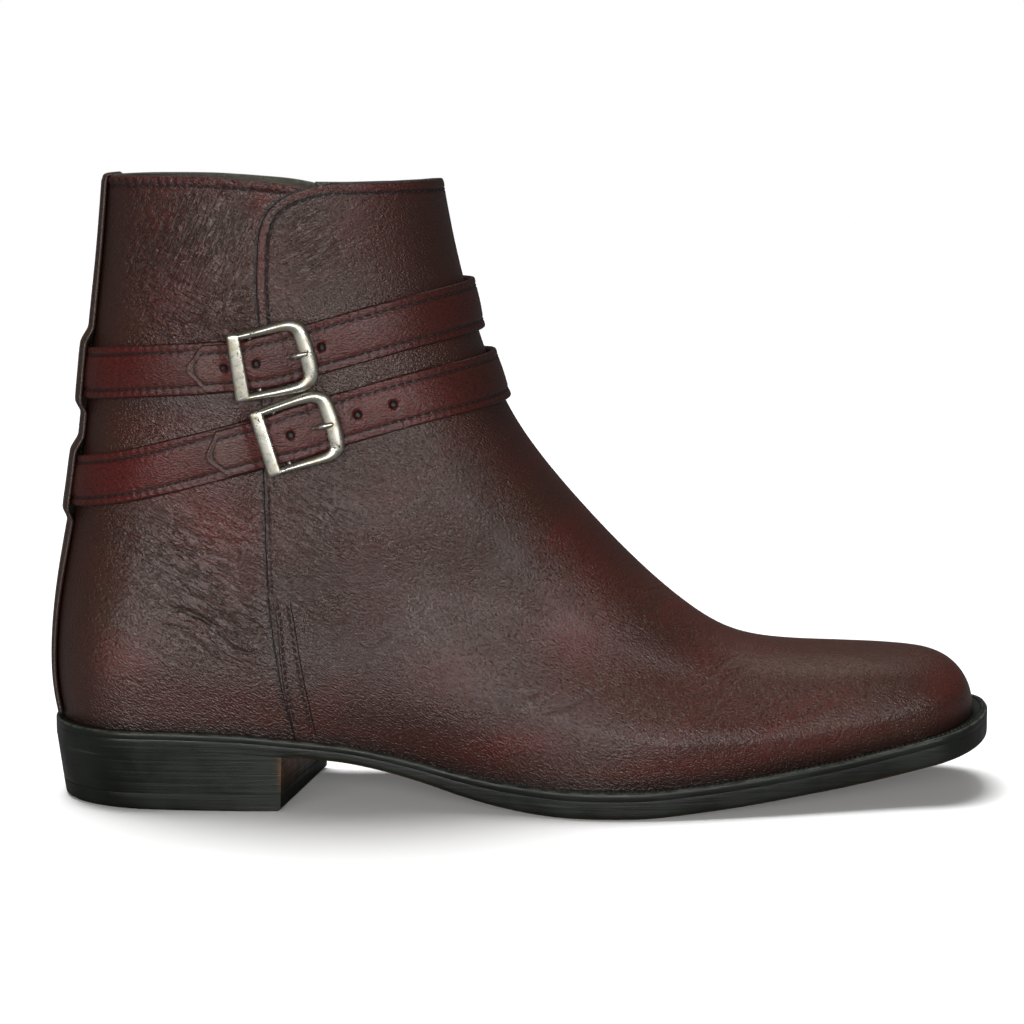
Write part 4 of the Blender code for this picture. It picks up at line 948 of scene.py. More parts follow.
def relief(x, z, outer_side, vamp):
    """Height of creases and swellings over the plain last, in millimetres."""
    out = np.zeros(x.shape)
    if outer_side:
        drawn_creases(out, x, z, vamp)
        out += 0.62 * swell_field(x, z, SWELLS)
        if vamp:
            wrinkles(out, x, z, 11, 46, (88, 98), (9, 8), -38, 9, 9, 0.10, 0.5)
            wrinkles(out, x, z, 12, 30, (86, 62), (6, 7), -50, 10, 8, 0.08, 0.5)
            wrinkles(out, x, z, 13, 60, (86, 182), (10, 9), 28, 5, 10, 0.07, 0.45)
            wrinkles(out, x, z, 14, 22, (205, 38), (12, 6), 35, 10, 9, 0.07, 0.6)
            wrinkles(out, x, z, 15, 16, (148, 34), (8, 6), 20, 14, 7, 0.07, 0.6)
            wrinkles(out, x, z, 16, 20, (110, 118), (12, 5), -30, 14, 7, 0.06, 0.5)
        else:
            wrinkles(out, x, z, 21, 60, (42, 180), (11, 12), 62, 9, 13, 0.13, 0.6)
            wrinkles(out, x, z, 22, 40, (34, 184), (8, 10), -52, 8, 14, 0.14, 0.6)
            wrinkles(out, x, z, 23, 90, (54, 160), (10, 9), 28, 14, 8, 0.13, 0.55)
            wrinkles(out, x, z, 24, 60, (56, 160), (9, 10), -35, 12, 7, 0.11, 0.5)
            wrinkles(out, x, z, 25, 80, (46, 88), (14, 9), -28, 8, 10, 0.12, 0.55)
            wrinkles(out, x, z, 26, 40, (52, 62), (12, 7), -30, 8, 9, 0.11, 0.55)
            wrinkles(out, x, z, 27, 26, (36, 124), (12, 5), 8, 9, 11, 0.09, 0.55)
            wrinkles(out, x, z, 28, 16, (58, 194), (10, 3), 70, 8, 6, 0.10, 0.5)
    else:
        out += 0.45 * swell_field(x + 4, z - 5, SWELLS)
        if vamp:
            wrinkles(out, x, z, 31, 40, (92, 92), (12, 12), -32, 14, 9, 0.10, 0.6)
            wrinkles(out, x, z, 32, 40, (88, 176), (12, 12), 28, 14, 9, 0.09, 0.6)
            wrinkles(out, x, z, 33, 26, (190, 40), (20, 8), 25, 20, 9, 0.09, 0.7)
        else:
            wrinkles(out, x, z, 34, 60, (44, 172), (13, 14), 50, 22, 11, 0.12, 0.7)
            wrinkles(out, x, z, 35, 60, (46, 80), (14, 14), -25, 12, 11, 0.12, 0.7)
    # flatter towards the silhouette, the sole and the back strip
    calm = smooth((front_distance(x, z)[0] - 1.0) / 7.0) * smooth((z - welt_top(x) - 1.0) / 7.0)
    calm *= smooth((x - table(SHAFT, 1, z) - 4.0) / 8.0)
    if vamp:
        calm *= smooth((296 - x) / 10)
    return out * calm


def seam_relief(x, z, vamp, strong=1.0):
    """Stitched edges: groove, ripples between the stitches and the edge, and the rounded edge itself."""
    out = np.zeros(x.shape)
    if vamp:
        d, s, _ = line_distance(x, z, FLAP_EDGE)
        near_collar = z > 150
        out += np.where(near_collar, groove(d, 3.3), groove(d, 1.6, 0.2, 0.4) * smooth((z - 66) / 6))
        out += np.where(near_collar, pucker(d, s, 0.5, 3.3, 0.14), 0)
        out += np.where(near_collar, pucker(d, s, 3.3, 5.0, 0.07), 0)
    else:
        d, s, _ = line_distance(x, z, REAR_EDGE)
        out += groove(d, REAR_ROW, 0.40, 0.6) + pucker(d, s, 0.4, REAR_ROW + 0.2, 0.42) + pucker(d, s, REAR_ROW, 6.5, 0.10)
        out += 0.16 * np.exp(-((d - 1.6) / 0.9) ** 2)
        ds, _, _ = line_distance(x, z, SEAM_LINE)
        behind = np.where(x < seam_x(z), ds, 0.0)
        low = smooth((z - 40) / 25)
        out -= (0.75 + 0.5 * low) * (1 - smooth((behind - 0.8) / 9.0))
    return out * strong


# where the grain is broken into fine lines that fall to the right, and where they fan out steeply from the collar
BROKEN = [
    (34.0, 180.0, 16.0, 22.0, 0.0, 0.9), (52.0, 156.0, 18.0, 12.0, 0.0, 0.9), (46.0, 84.0, 26.0, 16.0, -15.0, 1.0), (58.0, 58.0, 16.0, 12.0, -30.0, 0.8),
    (90.0, 96.0, 15.0, 14.0, -30.0, 0.7), (92.0, 66.0, 14.0, 10.0, -30.0, 0.45), (112.0, 116.0, 18.0, 9.0, -10.0, 0.35), (38.0, 124.0, 16.0, 6.0, 0.0, 0.6),
    (150.0, 40.0, 16.0, 10.0, 10.0, 0.35), (206.0, 42.0, 14.0, 8.0, 30.0, 0.3),
]
FANNED = [
    (50.0, 190.0, 24.0, 16.0, 0.0, 1.0), (46.0, 172.0, 18.0, 16.0, 0.0, 0.8), (58.0, 154.0, 14.0, 12.0, 0.0, 0.5), (60.0, 100.0, 14.0, 8.0, 0.0, 0.3),
]


RED = [
    # x, z, half length, half height, turned by degrees, strength
    (44.0, 164.0, 9.0, 12.0, -20.0, 0.55), (40.0, 190.0, 10.0, 6.0, 60.0, 0.45), (38.6, 124.8, 16.0, 5.0, 5.0, 0.55),
    (56.0, 92.0, 15.0, 9.0, -25.0, 1.0), (38.0, 104.0, 14.0, 4.0, 8.0, 0.5), (25.0, 47.0, 9.0, 8.0, 0.0, 0.85),
    (38.0, 36.0, 24.0, 5.5, 0.0, 0.6), (64.0, 72.0, 7.0, 6.0, -30.0, 0.5), (99.0, 49.0, 11.0, 8.0, 30.0, 0.45),
    (126.0, 44.0, 10.0, 8.0, 0.0, 0.5), (168.0, 56.0, 12.0, 9.0, -30.0, 0.75), (171.0, 82.0, 12.0, 7.0, -40.0, 0.3),
    (150.0, 23.0, 12.0, 4.5, 5.0, 0.8), (205.0, 17.0, 34.0, 3.5, 6.0, 0.5), (186.0, 52.0, 14.0, 7.0, -30.0, 0.35),
    (71.5, 176.0, 2.2, 24.0, 0.0, 0.7), (80.0, 196.0, 12.0, 2.4, 12.0, 0.8), (108.0, 197.2, 16.0, 2.0, 2.0, 0.6),
    (50.0, 198.6, 24.0, 2.0, 0.0, 0.8), (100.0, 186.0, 8.0, 9.0, 0.0, 0.25), (118.0, 152.0, 14.0, 6.0, 15.0, 0.2),
    (106.0, 78.0, 16.0, 6.0, 10.0, -0.35), (250.0, 24.0, 30.0, 4.0, 6.0, 0.35), (136.0, 96.0, 10.0, 8.0, -40.0, 0.2),
]


PAINTED_SHADE_PATCHES = [
    # darker patches of painted shade: x, z, half length, half height, turned by degrees, strength
    (97.0, 50.0, 18.0, 12.0, 0.0, 0.60), (142.0, 92.0, 8.0, 22.0, 35.0, 0.42), (190.0, 53.0, 15.0, 8.0, -12.0, 0.50), (68.0, 66.0, 10.0, 14.0, 0.0, 0.40),
    (36.0, 36.0, 30.0, 8.0, 0.0, 0.45), (96.0, 76.0, 22.0, 5.0, 5.0, 0.30), (42.0, 130.0, 28.0, 6.0, 4.0, 0.50), (274.0, 36.0, 9.0, 9.0, 0.0, 0.40),
    (122.0, 176.0, 8.0, 24.0, 5.0, 0.45), (12.0, 68.0, 5.0, 30.0, 0.0, 0.35), (22.0, 180.0, 5.0, 20.0, 0.0, 0.25), (110.0, 30.0, 18.0, 5.0, 0.0, 0.30),
]
POLISHED = [
    # waxed and rubbed smoother, which only changes the roughness: the same six numbers
    (56.0, 181.0, 20.0, 9.0, 14.0, 0.75), (92.0, 182.0, 13.0, 11.0, 0.0, 0.75), (27.0, 70.0, 9.0, 18.0, 0.0, 0.42), (46.0, 68.0, 8.0, 16.0, 0.0, 0.22),
    (100.0, 94.0, 22.0, 7.0, -4.0, 0.45), (146.0, 38.0, 14.0, 8.0, -25.0, 0.50), (160.0, 60.0, 16.0, 14.0, 20.0, 0.50), (130.0, 62.0, 12.0, 24.0, 12.0, 0.28),
    (207.0, 24.0, 22.0, 6.0, 2.0, 0.95), (240.0, 26.0, 20.0, 6.0, 4.0, 0.85), (172.0, 24.0, 16.0, 6.0, 0.0, 0.55), (268.0, 24.0, 12.0, 5.0, 8.0, 0.40),
]


def dye_and_painted_shade_of(x, z, vamp):
    """Darkening from 0 to 1: dark dyed cut edges of the flap and the collar, and painted shade above the welt, towards
    the back and front silhouette, in the stitch grooves, beside the flap's edge and in broad patches.
    """
    h = z - welt_top(np.clip(x, 0, 301))
    # painted shade just above the welt
    dye_and_painted_shade = 0.75 * (1 - smooth(h / 7.0))
    # painted shade towards the back silhouette
    dye_and_painted_shade = np.maximum(dye_and_painted_shade, 0.55 * (1 - smooth((x - table(SHAFT, 1, z) - 2) / 16.0)))
    # painted shade towards the front silhouette, above the instep
    d = front_distance(x, z)[0]
    dye_and_painted_shade = np.maximum(dye_and_painted_shade, 0.45 * (1 - smooth((d - 1) / 14.0)) * smooth((z - 62) / 20))
    if vamp:
        df, _, _ = line_distance(x, z, FLAP_EDGE)
        dye_and_painted_shade = np.maximum(dye_and_painted_shade, 0.95 * (1 - smooth((df - 0.15) / 0.9)))
        # painted shade in the grooves of the flap's two stitch rows
        dye_and_painted_shade = np.maximum(dye_and_painted_shade, 0.7 * np.exp(-((df - 1.6) / 0.5) ** 2) * (1 - smooth((z - 100) / 8)))
        dye_and_painted_shade = np.maximum(dye_and_painted_shade, 0.97 * np.exp(-((df - 3.3) / 0.8) ** 2) * smooth((z - 100) / 12))
        dye_and_painted_shade = np.maximum(dye_and_painted_shade, 0.55 * (1 - smooth(toe_x(z) + 1 - x)) * 0)
    else:
        ds, _, _ = line_distance(x, z, SEAM_LINE)
        # painted shadow on the quarter along the flap's edge
        dye_and_painted_shade = np.maximum(dye_and_painted_shade, 0.85 * (1 - smooth((ds - 0.2) / 1.8)))
        dr, sr, _ = line_distance(x, z, REAR_EDGE)
        notch = 0.5 - 0.5 * np.cos(2 * math.pi * sr / STITCH_PITCH)
        # painted shade in the collar row's groove and at each stitch
        dye_and_painted_shade = np.maximum(dye_and_painted_shade, 0.85 * np.exp(-((dr - REAR_ROW) / 0.7) ** 2))
        dye_and_painted_shade = np.maximum(dye_and_painted_shade, 0.9 * notch**1.6 * (1 - smooth((dr - REAR_ROW) / 0.8)) * smooth((dr - 0.2) / 0.9))
        dye_and_painted_shade = np.maximum(dye_and_painted_shade, 0.35 * (1 - smooth(dr / 1.0)))
    # broad darker patches of painted shade
    dye_and_painted_shade = np.maximum(dye_and_painted_shade, np.clip(swell_field(x, z, PAINTED_SHADE_PATCHES), 0, 0.6))
    return np.clip(dye_and_painted_shade, 0, 1)


def strap_zone(x, z, which, inner=0):
    rows = STRAPS[which]
    mid = np.interp(x, column(rows, 0), column(rows, 2 if inner else 1))
    return np.abs(z - mid) - STRAP_WIDTH / 2


# ---------------------------------------------------------------- the two panels of the upper
def ring_steps(n, low=0.0, high=1.0, fine_top=8):
    """Ring positions, closer together at the collar."""
    v = np.linspace(low, high, n)
    top = high - np.array([0.0045, 0.0030, 0.0018, 0.0009, 0.0004])
    return np.unique(np.concatenate([v, top]))


# the vamp's edge: distance in from the edge, and height
EDGE_ROLL = [(0.5, -1.9), (0.1, -1.5), (0.0, -1.1), (0.0, -0.7), (0.08, -0.35), (0.25, -0.12), (0.5, -0.03), (0.8, 0.0)]
# the collar's edge, over the top and down inside: out from the surface, height from the edge
COLLAR_ROLL = [(0.0, -0.42), (-0.1, -0.16), (-0.34, -0.02), (-0.8, 0.04), (-1.6, 0.04), (-2.05, -0.03), (-2.3, -0.2), (-2.42, -0.6), (-2.4, -1.3)]


def make_vamp(mat, n_rings=288, n_outer=240, n_inner=64):
    vs = ring_steps(n_rings)
    rows, masks = [], None
    for v in vs:
        halves = []
        for inner, count in ((False, n_outer), (True, n_inner)):
            line = collar_ring(v, inner, FRONT_COLLAR, FRONT_DROP)
            s = arc(line)
            a = seam_arc(line, s)
            t = np.linspace(0, 1, count)
            t = t - 0.05 * np.sin(2 * math.pi * t)
            where = a + 0.8 + (s[-1] - a - 0.8) * t
            where = np.concatenate([[a + e for e, _ in EDGE_ROLL[:-1]], where])
            halves.append(at_arc(line, s, where))
        rows.append(np.concatenate([halves[0], halves[1][-2::-1]]))
    g = np.array(rows)
    n_edge = len(EDGE_ROLL) - 1
    cols = g.shape[1]
    split = n_edge + n_outer
    normal = grid_normals(g)
    # the rolled-in columns share the normal of the first plain column
    normal[:, :n_edge] = normal[:, n_edge:n_edge + 1]
    normal[:, cols - n_edge:] = normal[:, cols - n_edge - 1:cols - n_edge]
    if (normal[:, split // 2, 1]).mean() > 0:
        normal = -normal
    x, z = g[..., 0], g[..., 2]
    h = np.zeros(x.shape)
    h[:, :split] = relief(x[:, :split], z[:, :split], True, True)
    h[:, split:] = relief(x[:, split:], z[:, split:], False, True)
    zs = z.copy()
    zs[:, split:] = dropped(z[:, split:], x[:, split:], FRONT_DROP)
    h += seam_relief(x, zs, True)
    for k, (_, out) in enumerate(EDGE_ROLL[:-1]):
        h[:, k] += out
        h[:, cols - 1 - k] += out
    p = g + normal * h[..., None]
    red = swell_field(x, z, RED)
    red[:, split:] *= 0.6
    dye_and_painted_shade = np.maximum(dye_and_painted_shade_of(x, zs, True), crease_painted_shade(x, z, True, slice(0, split)))
    for k in range(n_edge - 2):
        dye_and_painted_shade[:, k] = dye_and_painted_shade[:, cols - 1 - k] = 0.9
    p, dye_and_painted_shade, red = collar_rows(p, normal, dye_and_painted_shade, red)
    p, dye_and_painted_shade, red = foot_rows(p, normal, dye_and_painted_shade, red)
    lines = np.exp(-(((p[..., 0] - 88) / 17) ** 2 + ((p[..., 2] - 181) / 17) ** 2))
    creased = swell_field(p[..., 0], p[..., 2], BROKEN)
    inside = np.zeros(dye_and_painted_shade.shape)
    inside[-5:] = [[0.5], [1.0], [1.0], [1.0], [1.0]]
    faces = grid_faces(p.shape[0], p.shape[1])
    obj = add_mesh("vamp", to_row(p.reshape(-1, 3)), faces, mat, {"dye_and_painted_shade": dye_and_painted_shade, "red": red, "lines": lines, "creased": creased, "inside": inside,
                    "polish": np.clip(swell_field(p[..., 0], p[..., 2], POLISHED), 0, 1)})
    return outline_faces_out(obj)


def collar_rows(p, normal, dye_and_painted_shade, red):
    """Goes over the collar's edge and a little way down inside."""
    top, n = p[-1], normal[-1].copy()
    n[:, 2] = 0
    n /= np.linalg.norm(n, axis=1)[:, None]
    extra = [top + n * out + np.array([0, 0, dz]) for out, dz in COLLAR_ROLL]
    keep = p[:-1]
    # rings above the start of the roll are brought down to it
    limit = extra[0][:, 2][None, :] - 0.05 * (np.arange(len(keep), 0, -1)[:, None] * 0.02)
    keep = keep.copy()
    keep[..., 2] = np.minimum(keep[..., 2], limit)
    p = np.concatenate([keep, np.array(extra)])
    edge_tone = [dye_and_painted_shade[-1], dye_and_painted_shade[-1], np.maximum(dye_and_painted_shade[-1], 0.5)] + [np.full(dye_and_painted_shade.shape[1], 0.8)] * (len(extra) - 3)
    dye_and_painted_shade = np.concatenate([dye_and_painted_shade[:-1], np.array(edge_tone)])
    red = np.concatenate([red[:-1], np.repeat(red[-1:] * 0.5, len(extra), 0)])
    return p, dye_and_painted_shade, red


def foot_rows(p, normal, dye_and_painted_shade, red):
    """Turns in under the edge of the last, into the crease over the welt."""
    low = p[0]
    n = normal[0].copy()
    n[:, 2] = 0
    n /= np.linalg.norm(n, axis=1)[:, None]
    extra = np.array([low + n * -1.2 + [0, 0, -1.2], low + n * -0.35 + [0, 0, -0.75]])
    first = p[:1]
    p = np.concatenate([extra, first, p[1:]])
    # painted shade: the turned-in rows are fully dark in the crease over the welt
    dye_and_painted_shade = np.concatenate([np.full((2, dye_and_painted_shade.shape[1]), 1.0), dye_and_painted_shade])
    red = np.concatenate([np.zeros((2, red.shape[1])), red])
    return p, dye_and_painted_shade, red


def make_quarter(mat, n_rings=322, n_outer=190, n_inner=60, under=7.0):
    vs = ring_steps(n_rings)
    rows = []
    for v in vs:
        halves = []
        for inner, count in ((False, n_outer), (True, n_inner)):
            line = collar_ring(v, inner, REAR_COLLAR, REAR_DROP)
            s = arc(line)
            a = min(seam_arc(line, s) + under, s[-1] - 1.0)
            t = np.linspace(0, 1, count)
            halves.append(at_arc(line, s, a * t))
        rows.append(np.concatenate([halves[1][:0:-1], halves[0]]))
    g = np.array(rows)
    split = n_inner - 1
    normal = grid_normals(g)
    if normal[:, split, 0].mean() > 0:
        normal = -normal
    x, z = g[..., 0], g[..., 2]
    h = np.zeros(x.shape)
    h[:, split:] = relief(x[:, split:], z[:, split:], True, False)
    h[:, :split] = relief(x[:, :split], z[:, :split], False, False)
    zs = z.copy()
    zs[:, :split] = dropped(z[:, :split], x[:, :split], REAR_DROP)
    h += seam_relief(x, zs, False)
    p = g + normal * h[..., None]
    red = swell_field(x, z, RED)
    red[:, :split] *= 0.6
    dye_and_painted_shade = np.maximum(dye_and_painted_shade_of(x, zs, False), crease_painted_shade(x, z, False, slice(split, None)))
    p, dye_and_painted_shade, red = collar_rows(p, normal, dye_and_painted_shade, red)
    p, dye_and_painted_shade, red = foot_rows(p, normal, dye_and_painted_shade, red)
    lines = swell_field(p[..., 0], p[..., 2], FANNED)
    creased = swell_field(p[..., 0], p[..., 2], BROKEN)
    inside = np.zeros(dye_and_painted_shade.shape)
    inside[-5:] = [[0.5], [1.0], [1.0], [1.0], [1.0]]
    faces = grid_faces(p.shape[0], p.shape[1])
    obj = add_mesh("quarter", to_row(p.reshape(-1, 3)), faces, mat, {"dye_and_painted_shade": dye_and_painted_shade, "red": red, "lines": lines, "creased": creased, "inside": inside,
                    "polish": np.clip(swell_field(p[..., 0], p[..., 2], POLISHED), 0, 1)})
    return outline_faces_out(obj)


def make_lining(mat, rings=70, n=150):
    rows = []
    for v in np.concatenate([[1.0, 0.996, 0.99, 0.98], np.linspace(0.965, 0.03, rings)]):
        half = [collar_ring(v, inner, LINING_INNER if inner else LINING_OUTER, None, 420) for inner in (False, True)]
        sh = ring_shares(n)
        rows.append(np.concatenate([at_shares(half[0], sh), at_shares(half[1], sh)[-2:0:-1]]))
    g = np.array(rows)
    wide = np.concatenate([g[:, -1:], g, g[:, :1]], axis=1)
    du = (wide[:, 2:] - wide[:, :-2])
    dv = np.gradient(g, axis=0)
    nrm = np.cross(du, dv)
    nrm /= np.linalg.norm(nrm, axis=2)[..., None]
    centre = g.mean(1, keepdims=True)
    if ((g - centre) * nrm).sum() < 0:
        nrm = -nrm
    p = g - nrm * 2.5
    p[-1, :, 2] += 0.6
    rows_n, m = p.shape[0], p.shape[1]
    faces = []
    for r in range(rows_n - 1):
        for i in range(m):
            j = (i + 1) % m
            faces.append((r * m + i, (r + 1) * m + i, (r + 1) * m + j, r * m + j))
    obj = add_mesh("lining", to_row(p.reshape(-1, 3)), faces, mat)
    bm = bmesh.new()
    bm.from_mesh(obj.data)
    bmesh.ops.recalc_face_normals(bm, faces=bm.faces)
    # the lining's right side faces the foot
    f = bm.faces[0]
    c = f.calc_center_median()
    inside = np.array([0.04, 0.0, c.z]) - np.array(c)
    if float(np.dot(np.array(f.normal), inside)) < 0:
        bmesh.ops.reverse_faces(bm, faces=bm.faces)
    bm.to_mesh(obj.data)
    bm.free()
    return obj


def upper_point(x, z, inner=False, out=0.0, extra=None):
    """A place on the dressed upper, with its normal."""
    x, z = np.asarray(x, float), np.asarray(z, float)
    e = 0.4

    def at(a, b):
        return np.stack([a, surface_y(a, b, inner), b], -1)
    p = at(x, z)
    n = np.cross(at(x + e, z) - at(x - e, z), at(x, z + e) - at(x, z - e))
    n /= np.linalg.norm(n, axis=-1)[..., None]
    if n[..., 1].mean() * (1 if inner else -1) < 0:
        n = -n
    h = np.asarray(out, float) + (0 if extra is None else extra)
    return p + n * np.broadcast_to(h, x.shape)[..., None], n


def make_bar(mat):
    """The narrow bar over the seam's lower end, with rounded edges."""
    n = 90
    left, right = smooth_line(BAR_LEFT, 0.2), smooth_line(BAR_RIGHT, 0.2)

    def resample(line, k):
        s = np.concatenate([[0], np.cumsum(np.hypot(*np.diff(line, axis=0).T))])
        u = np.linspace(0, s[-1], k)
        return np.stack([np.interp(u, s, line[:, j]) for j in (0, 1)], 1)
    a, b = resample(left, n), resample(right, n)
    shares = [(0.0, -0.6), (0.0, 0.1), (0.02, 0.42), (0.06, 0.62), (0.12, 0.68)] + [(t, 0.7) for t in np.linspace(0.18, 0.82, 12)] + [(0.88, 0.68), (0.94, 0.62), (0.98, 0.42), (1.0, 0.1), (1.0, -0.6)]
    verts, dye_and_painted_shade, red = [], [], []
    width = np.hypot(*(b - a).T)
    for i in range(n):
        end = min(i, 3) / 3.0
        s = np.linalg.norm(a[0] - a[i])
        for t, h in shares:
            q = a[i] + (b[i] - a[i]) * t
            across = t * width[i]
            g = -0.3 * math.exp(-((across - 1.2) / 0.45) ** 2) - 0.3 * math.exp(-((width[i] - across - 1.2) / 0.45) ** 2)
            g += 0.06 * math.cos(2 * math.pi * s / 2.4) * (1 if across < 1.2 or across > width[i] - 1.2 else 0.3)
            hh = h * (0.25 + 0.75 * end) if h > 0 else h
            verts.append((q[0], q[1], hh + g * (h > 0.5)))
            dye_and_painted_shade.append(0.35 if h > 0.5 else 0.9)
            red.append(0.15)
    v = np.array(verts)
    rel = relief(v[:, 0], v[:, 1], True, True)
    p, _ = upper_point(v[:, 0], v[:, 1], False, v[:, 2] + rel * 0.8)
    faces = grid_faces(n, len(shares))
    obj = add_mesh("seam_bar", to_row(p), faces, mat, {"dye_and_painted_shade": dye_and_painted_shade, "red": red, "lines": np.zeros(len(v))})
    return outline_faces_out(obj)


# ---------------------------------------------------------------- stitches
def stitch_mesh(places, length, radius, sides=6):
    """Small rounded stitches. places: rows of centre, direction along, direction out."""
    profile = [(-0.5, 0.0), (-0.46, 0.55), (-0.3, 0.95), (0.0, 1.05), (0.3, 0.95), (0.46, 0.55), (0.5, 0.0)]
    verts, faces = [], []
    for c, t, n, scale in places:
        t = t / np.linalg.norm(t)
        n = n - t * np.dot(n, t)
        n /= np.linalg.norm(n)
        b = np.cross(t, n)
        base = len(verts)
        verts.append(c + t * profile[0][0] * length * scale)
        for u, r in profile[1:-1]:
            droop = -0.35 * radius * (2 * abs(u)) ** 2
            for k in range(sides):
                a = 2 * math.pi * k / sides
                verts.append(c + t * u * length * scale + (b * math.cos(a) + n * math.sin(a) * 0.8) * r * radius + n * droop)
        verts.append(c + t * profile[-1][0] * length * scale)
        rings = len(profile) - 2
        for k in range(sides):
            j = (k + 1) % sides
            faces.append((base, base + 1 + k, base + 1 + j))
            for r in range(rings - 1):
                o = base + 1 + r * sides
                faces.append((o + k, o + sides + k, o + sides + j, o + j))
            o = base + 1 + (rings - 1) * sides
            faces.append((o + k, base + 1 + rings * sides, o + j))
    return verts, faces


def row_places(points, normals, pitch, out, slant=0.0, start=0.5, scale=1.0, jitter=0.0, seed=1):
    """Stitch places along a line in space."""
    rng = np.random.default_rng(seed)
    s = arc(points)
    count = int((s[-1] - 2 * start) / pitch)
    res = []
    for k in range(count + 1):
        u = start + k * pitch
        if u > s[-1] - start * 0.5:
            break
        c = np.array([np.interp(u, s, points[:, j]) for j in range(3)])
        d = np.array([np.interp(min(u + 0.6, s[-1]), s, points[:, j]) - np.interp(max(u - 0.6, 0), s, points[:, j]) for j in range(3)])
        n = np.array([np.interp(u, s, normals[:, j]) for j in range(3)])
        n /= np.linalg.norm(n)
        d /= np.linalg.norm(d)
        b = np.cross(n, d)
        a = slant + rng.normal(0, jitter)
        res.append((c + n * out, d * math.cos(a) + b * math.sin(a), n, scale))
    return res


def inset_line(line, by, side):
    """A line beside another in the side view."""
    t = np.gradient(line, axis=0)
    t /= np.hypot(t[:, 0], t[:, 1])[:, None]
    return line + np.stack([t[:, 1], -t[:, 0]], 1) * by * side


def upper_stitches(mat):
    places = []
    # the flap's edge, along the collar to the front and the same on the inner side
    for inner in (False, True):
        seam = smooth_line(SEAM[1:], 0.5)
        row = inset_line(seam, 3.3, 1)
        row = row[(row[:, 1] > 104)]
        keep = (row[:, 1] < 195.4)
        row = row[keep]
        x_from = row[-1, 0] + 1.0
        xf = front_x(195.3) - 0.2
        collar = np.array([(x, 195.4 + 0.4 * (x - 93) / 35) for x in xf - (xf - x_from) * (1 - np.linspace(0, 1, 120)) ** 2])
        row = np.concatenate([row, collar])
        if inner:
            row = row - [0, 1] * (np.interp(row[:, 0], column(FRONT_DROP, 0), column(FRONT_DROP, 1)) * smooth((row[:, 1] - 150) / 45))[:, None]
        p, n = upper_point(row[:, 0], row[:, 1], inner, -0.12)
        good = ~np.isnan(p).any(1)
        places += row_places(p[good], n[good], STITCH_PITCH, 0.12, 0.12, jitter=0.05)
        # close row beside the seam, below the lower strap
        row = inset_line(seam, 1.6, 1)
        row = row[(row[:, 1] < 104) & (row[:, 1] > (70 if not inner else 30))]
        p, n = upper_point(row[:, 0], row[:, 1], inner, -0.1)
        places += row_places(p, n, 1.9, 0.1, 0.1, scale=0.72, jitter=0.05)
        # the quarter's collar
        edge = smooth_line([q for q in REAR_COLLAR if q[0] < 90], 0.5)
        row = inset_line(edge, REAR_ROW, 1)
        row = row[(row[:, 0] > 22.5) & (row[:, 0] < seam_x(row[:, 1]) - 0.8)]
        if inner:
            row = row - [0, 1] * np.interp(row[:, 0], column(REAR_DROP, 0), column(REAR_DROP, 1))[:, None]
        p, n = upper_point(row[:, 0], row[:, 1], inner, -0.12)
        d, _, _ = line_distance(row[:, 0], row[:, 1], SEAM_LINE)
        p = p - n * ((0.75 + 0.5) * (1 - smooth((d - 0.8) / 9.0)))[:, None]
        places += row_places(p, n, STITCH_PITCH, 0.10, 0.12, jitter=0.06)
    verts, faces = stitch_mesh(places, 2.0, 0.30)
    main = add_mesh("stitches_upper", to_row(verts), faces, mat)
    # the bar's two rows
    places = []
    a, b = smooth_line(BAR_LEFT, 0.3), smooth_line(BAR_RIGHT, 0.3)
    for line, side in ((a, -1), (b, 1)):
        row = inset_line(line, 1.2, side)
        row = row[(row[:, 1] < 66.4) & (row[:, 1] > 27)]
        rel = relief(row[:, 0], row[:, 1], True, True) * 0.8
        p, n = upper_point(row[:, 0], row[:, 1], False, 0.55 + rel)
        places += row_places(p, n, 2.3, 0.0, 0.35 * side, scale=0.85, jitter=0.1)
    verts, faces = stitch_mesh(places, 2.0, 0.34)
    bar = add_mesh("stitches_bar", to_row(verts), faces, mat)
    return [outline_faces_out(main), outline_faces_out(bar)]


# ---------------------------------------------------------------- straps
HOLES = {
    # distance of each hole along the strap is found from these places, x on the outer side
    "upper": (59.6, 69.6, 89.7),
    "lower": (79.9, 100.6, 111.4),
}
HOLE_RADIUS = 1.15


def strap_profile(width, thick, top=26, low=5):
    """(across, out) round a strap's section with rounded edges, the top side finely divided."""
    w, r = width / 2, 0.62
    pts = []
    for t in np.linspace(-(w - r), w - r, top):
        pts.append((t, thick, 1.0))
    for a in np.linspace(90, -50, 6)[1:]:
        pts.append((w - r + r * math.cos(math.radians(a)), thick - r + r * math.sin(math.radians(a)), 0.0))
    for t in np.linspace(w - 0.5, -(w - 0.5), low):
        pts.append((t, 0.0, 0.0))
    for a in np.linspace(230, 90, 6)[:-1]:
        pts.append((-(w - r) + r * math.cos(math.radians(a)), thick - r + r * math.sin(math.radians(a)), 0.0))
    return np.array(pts)


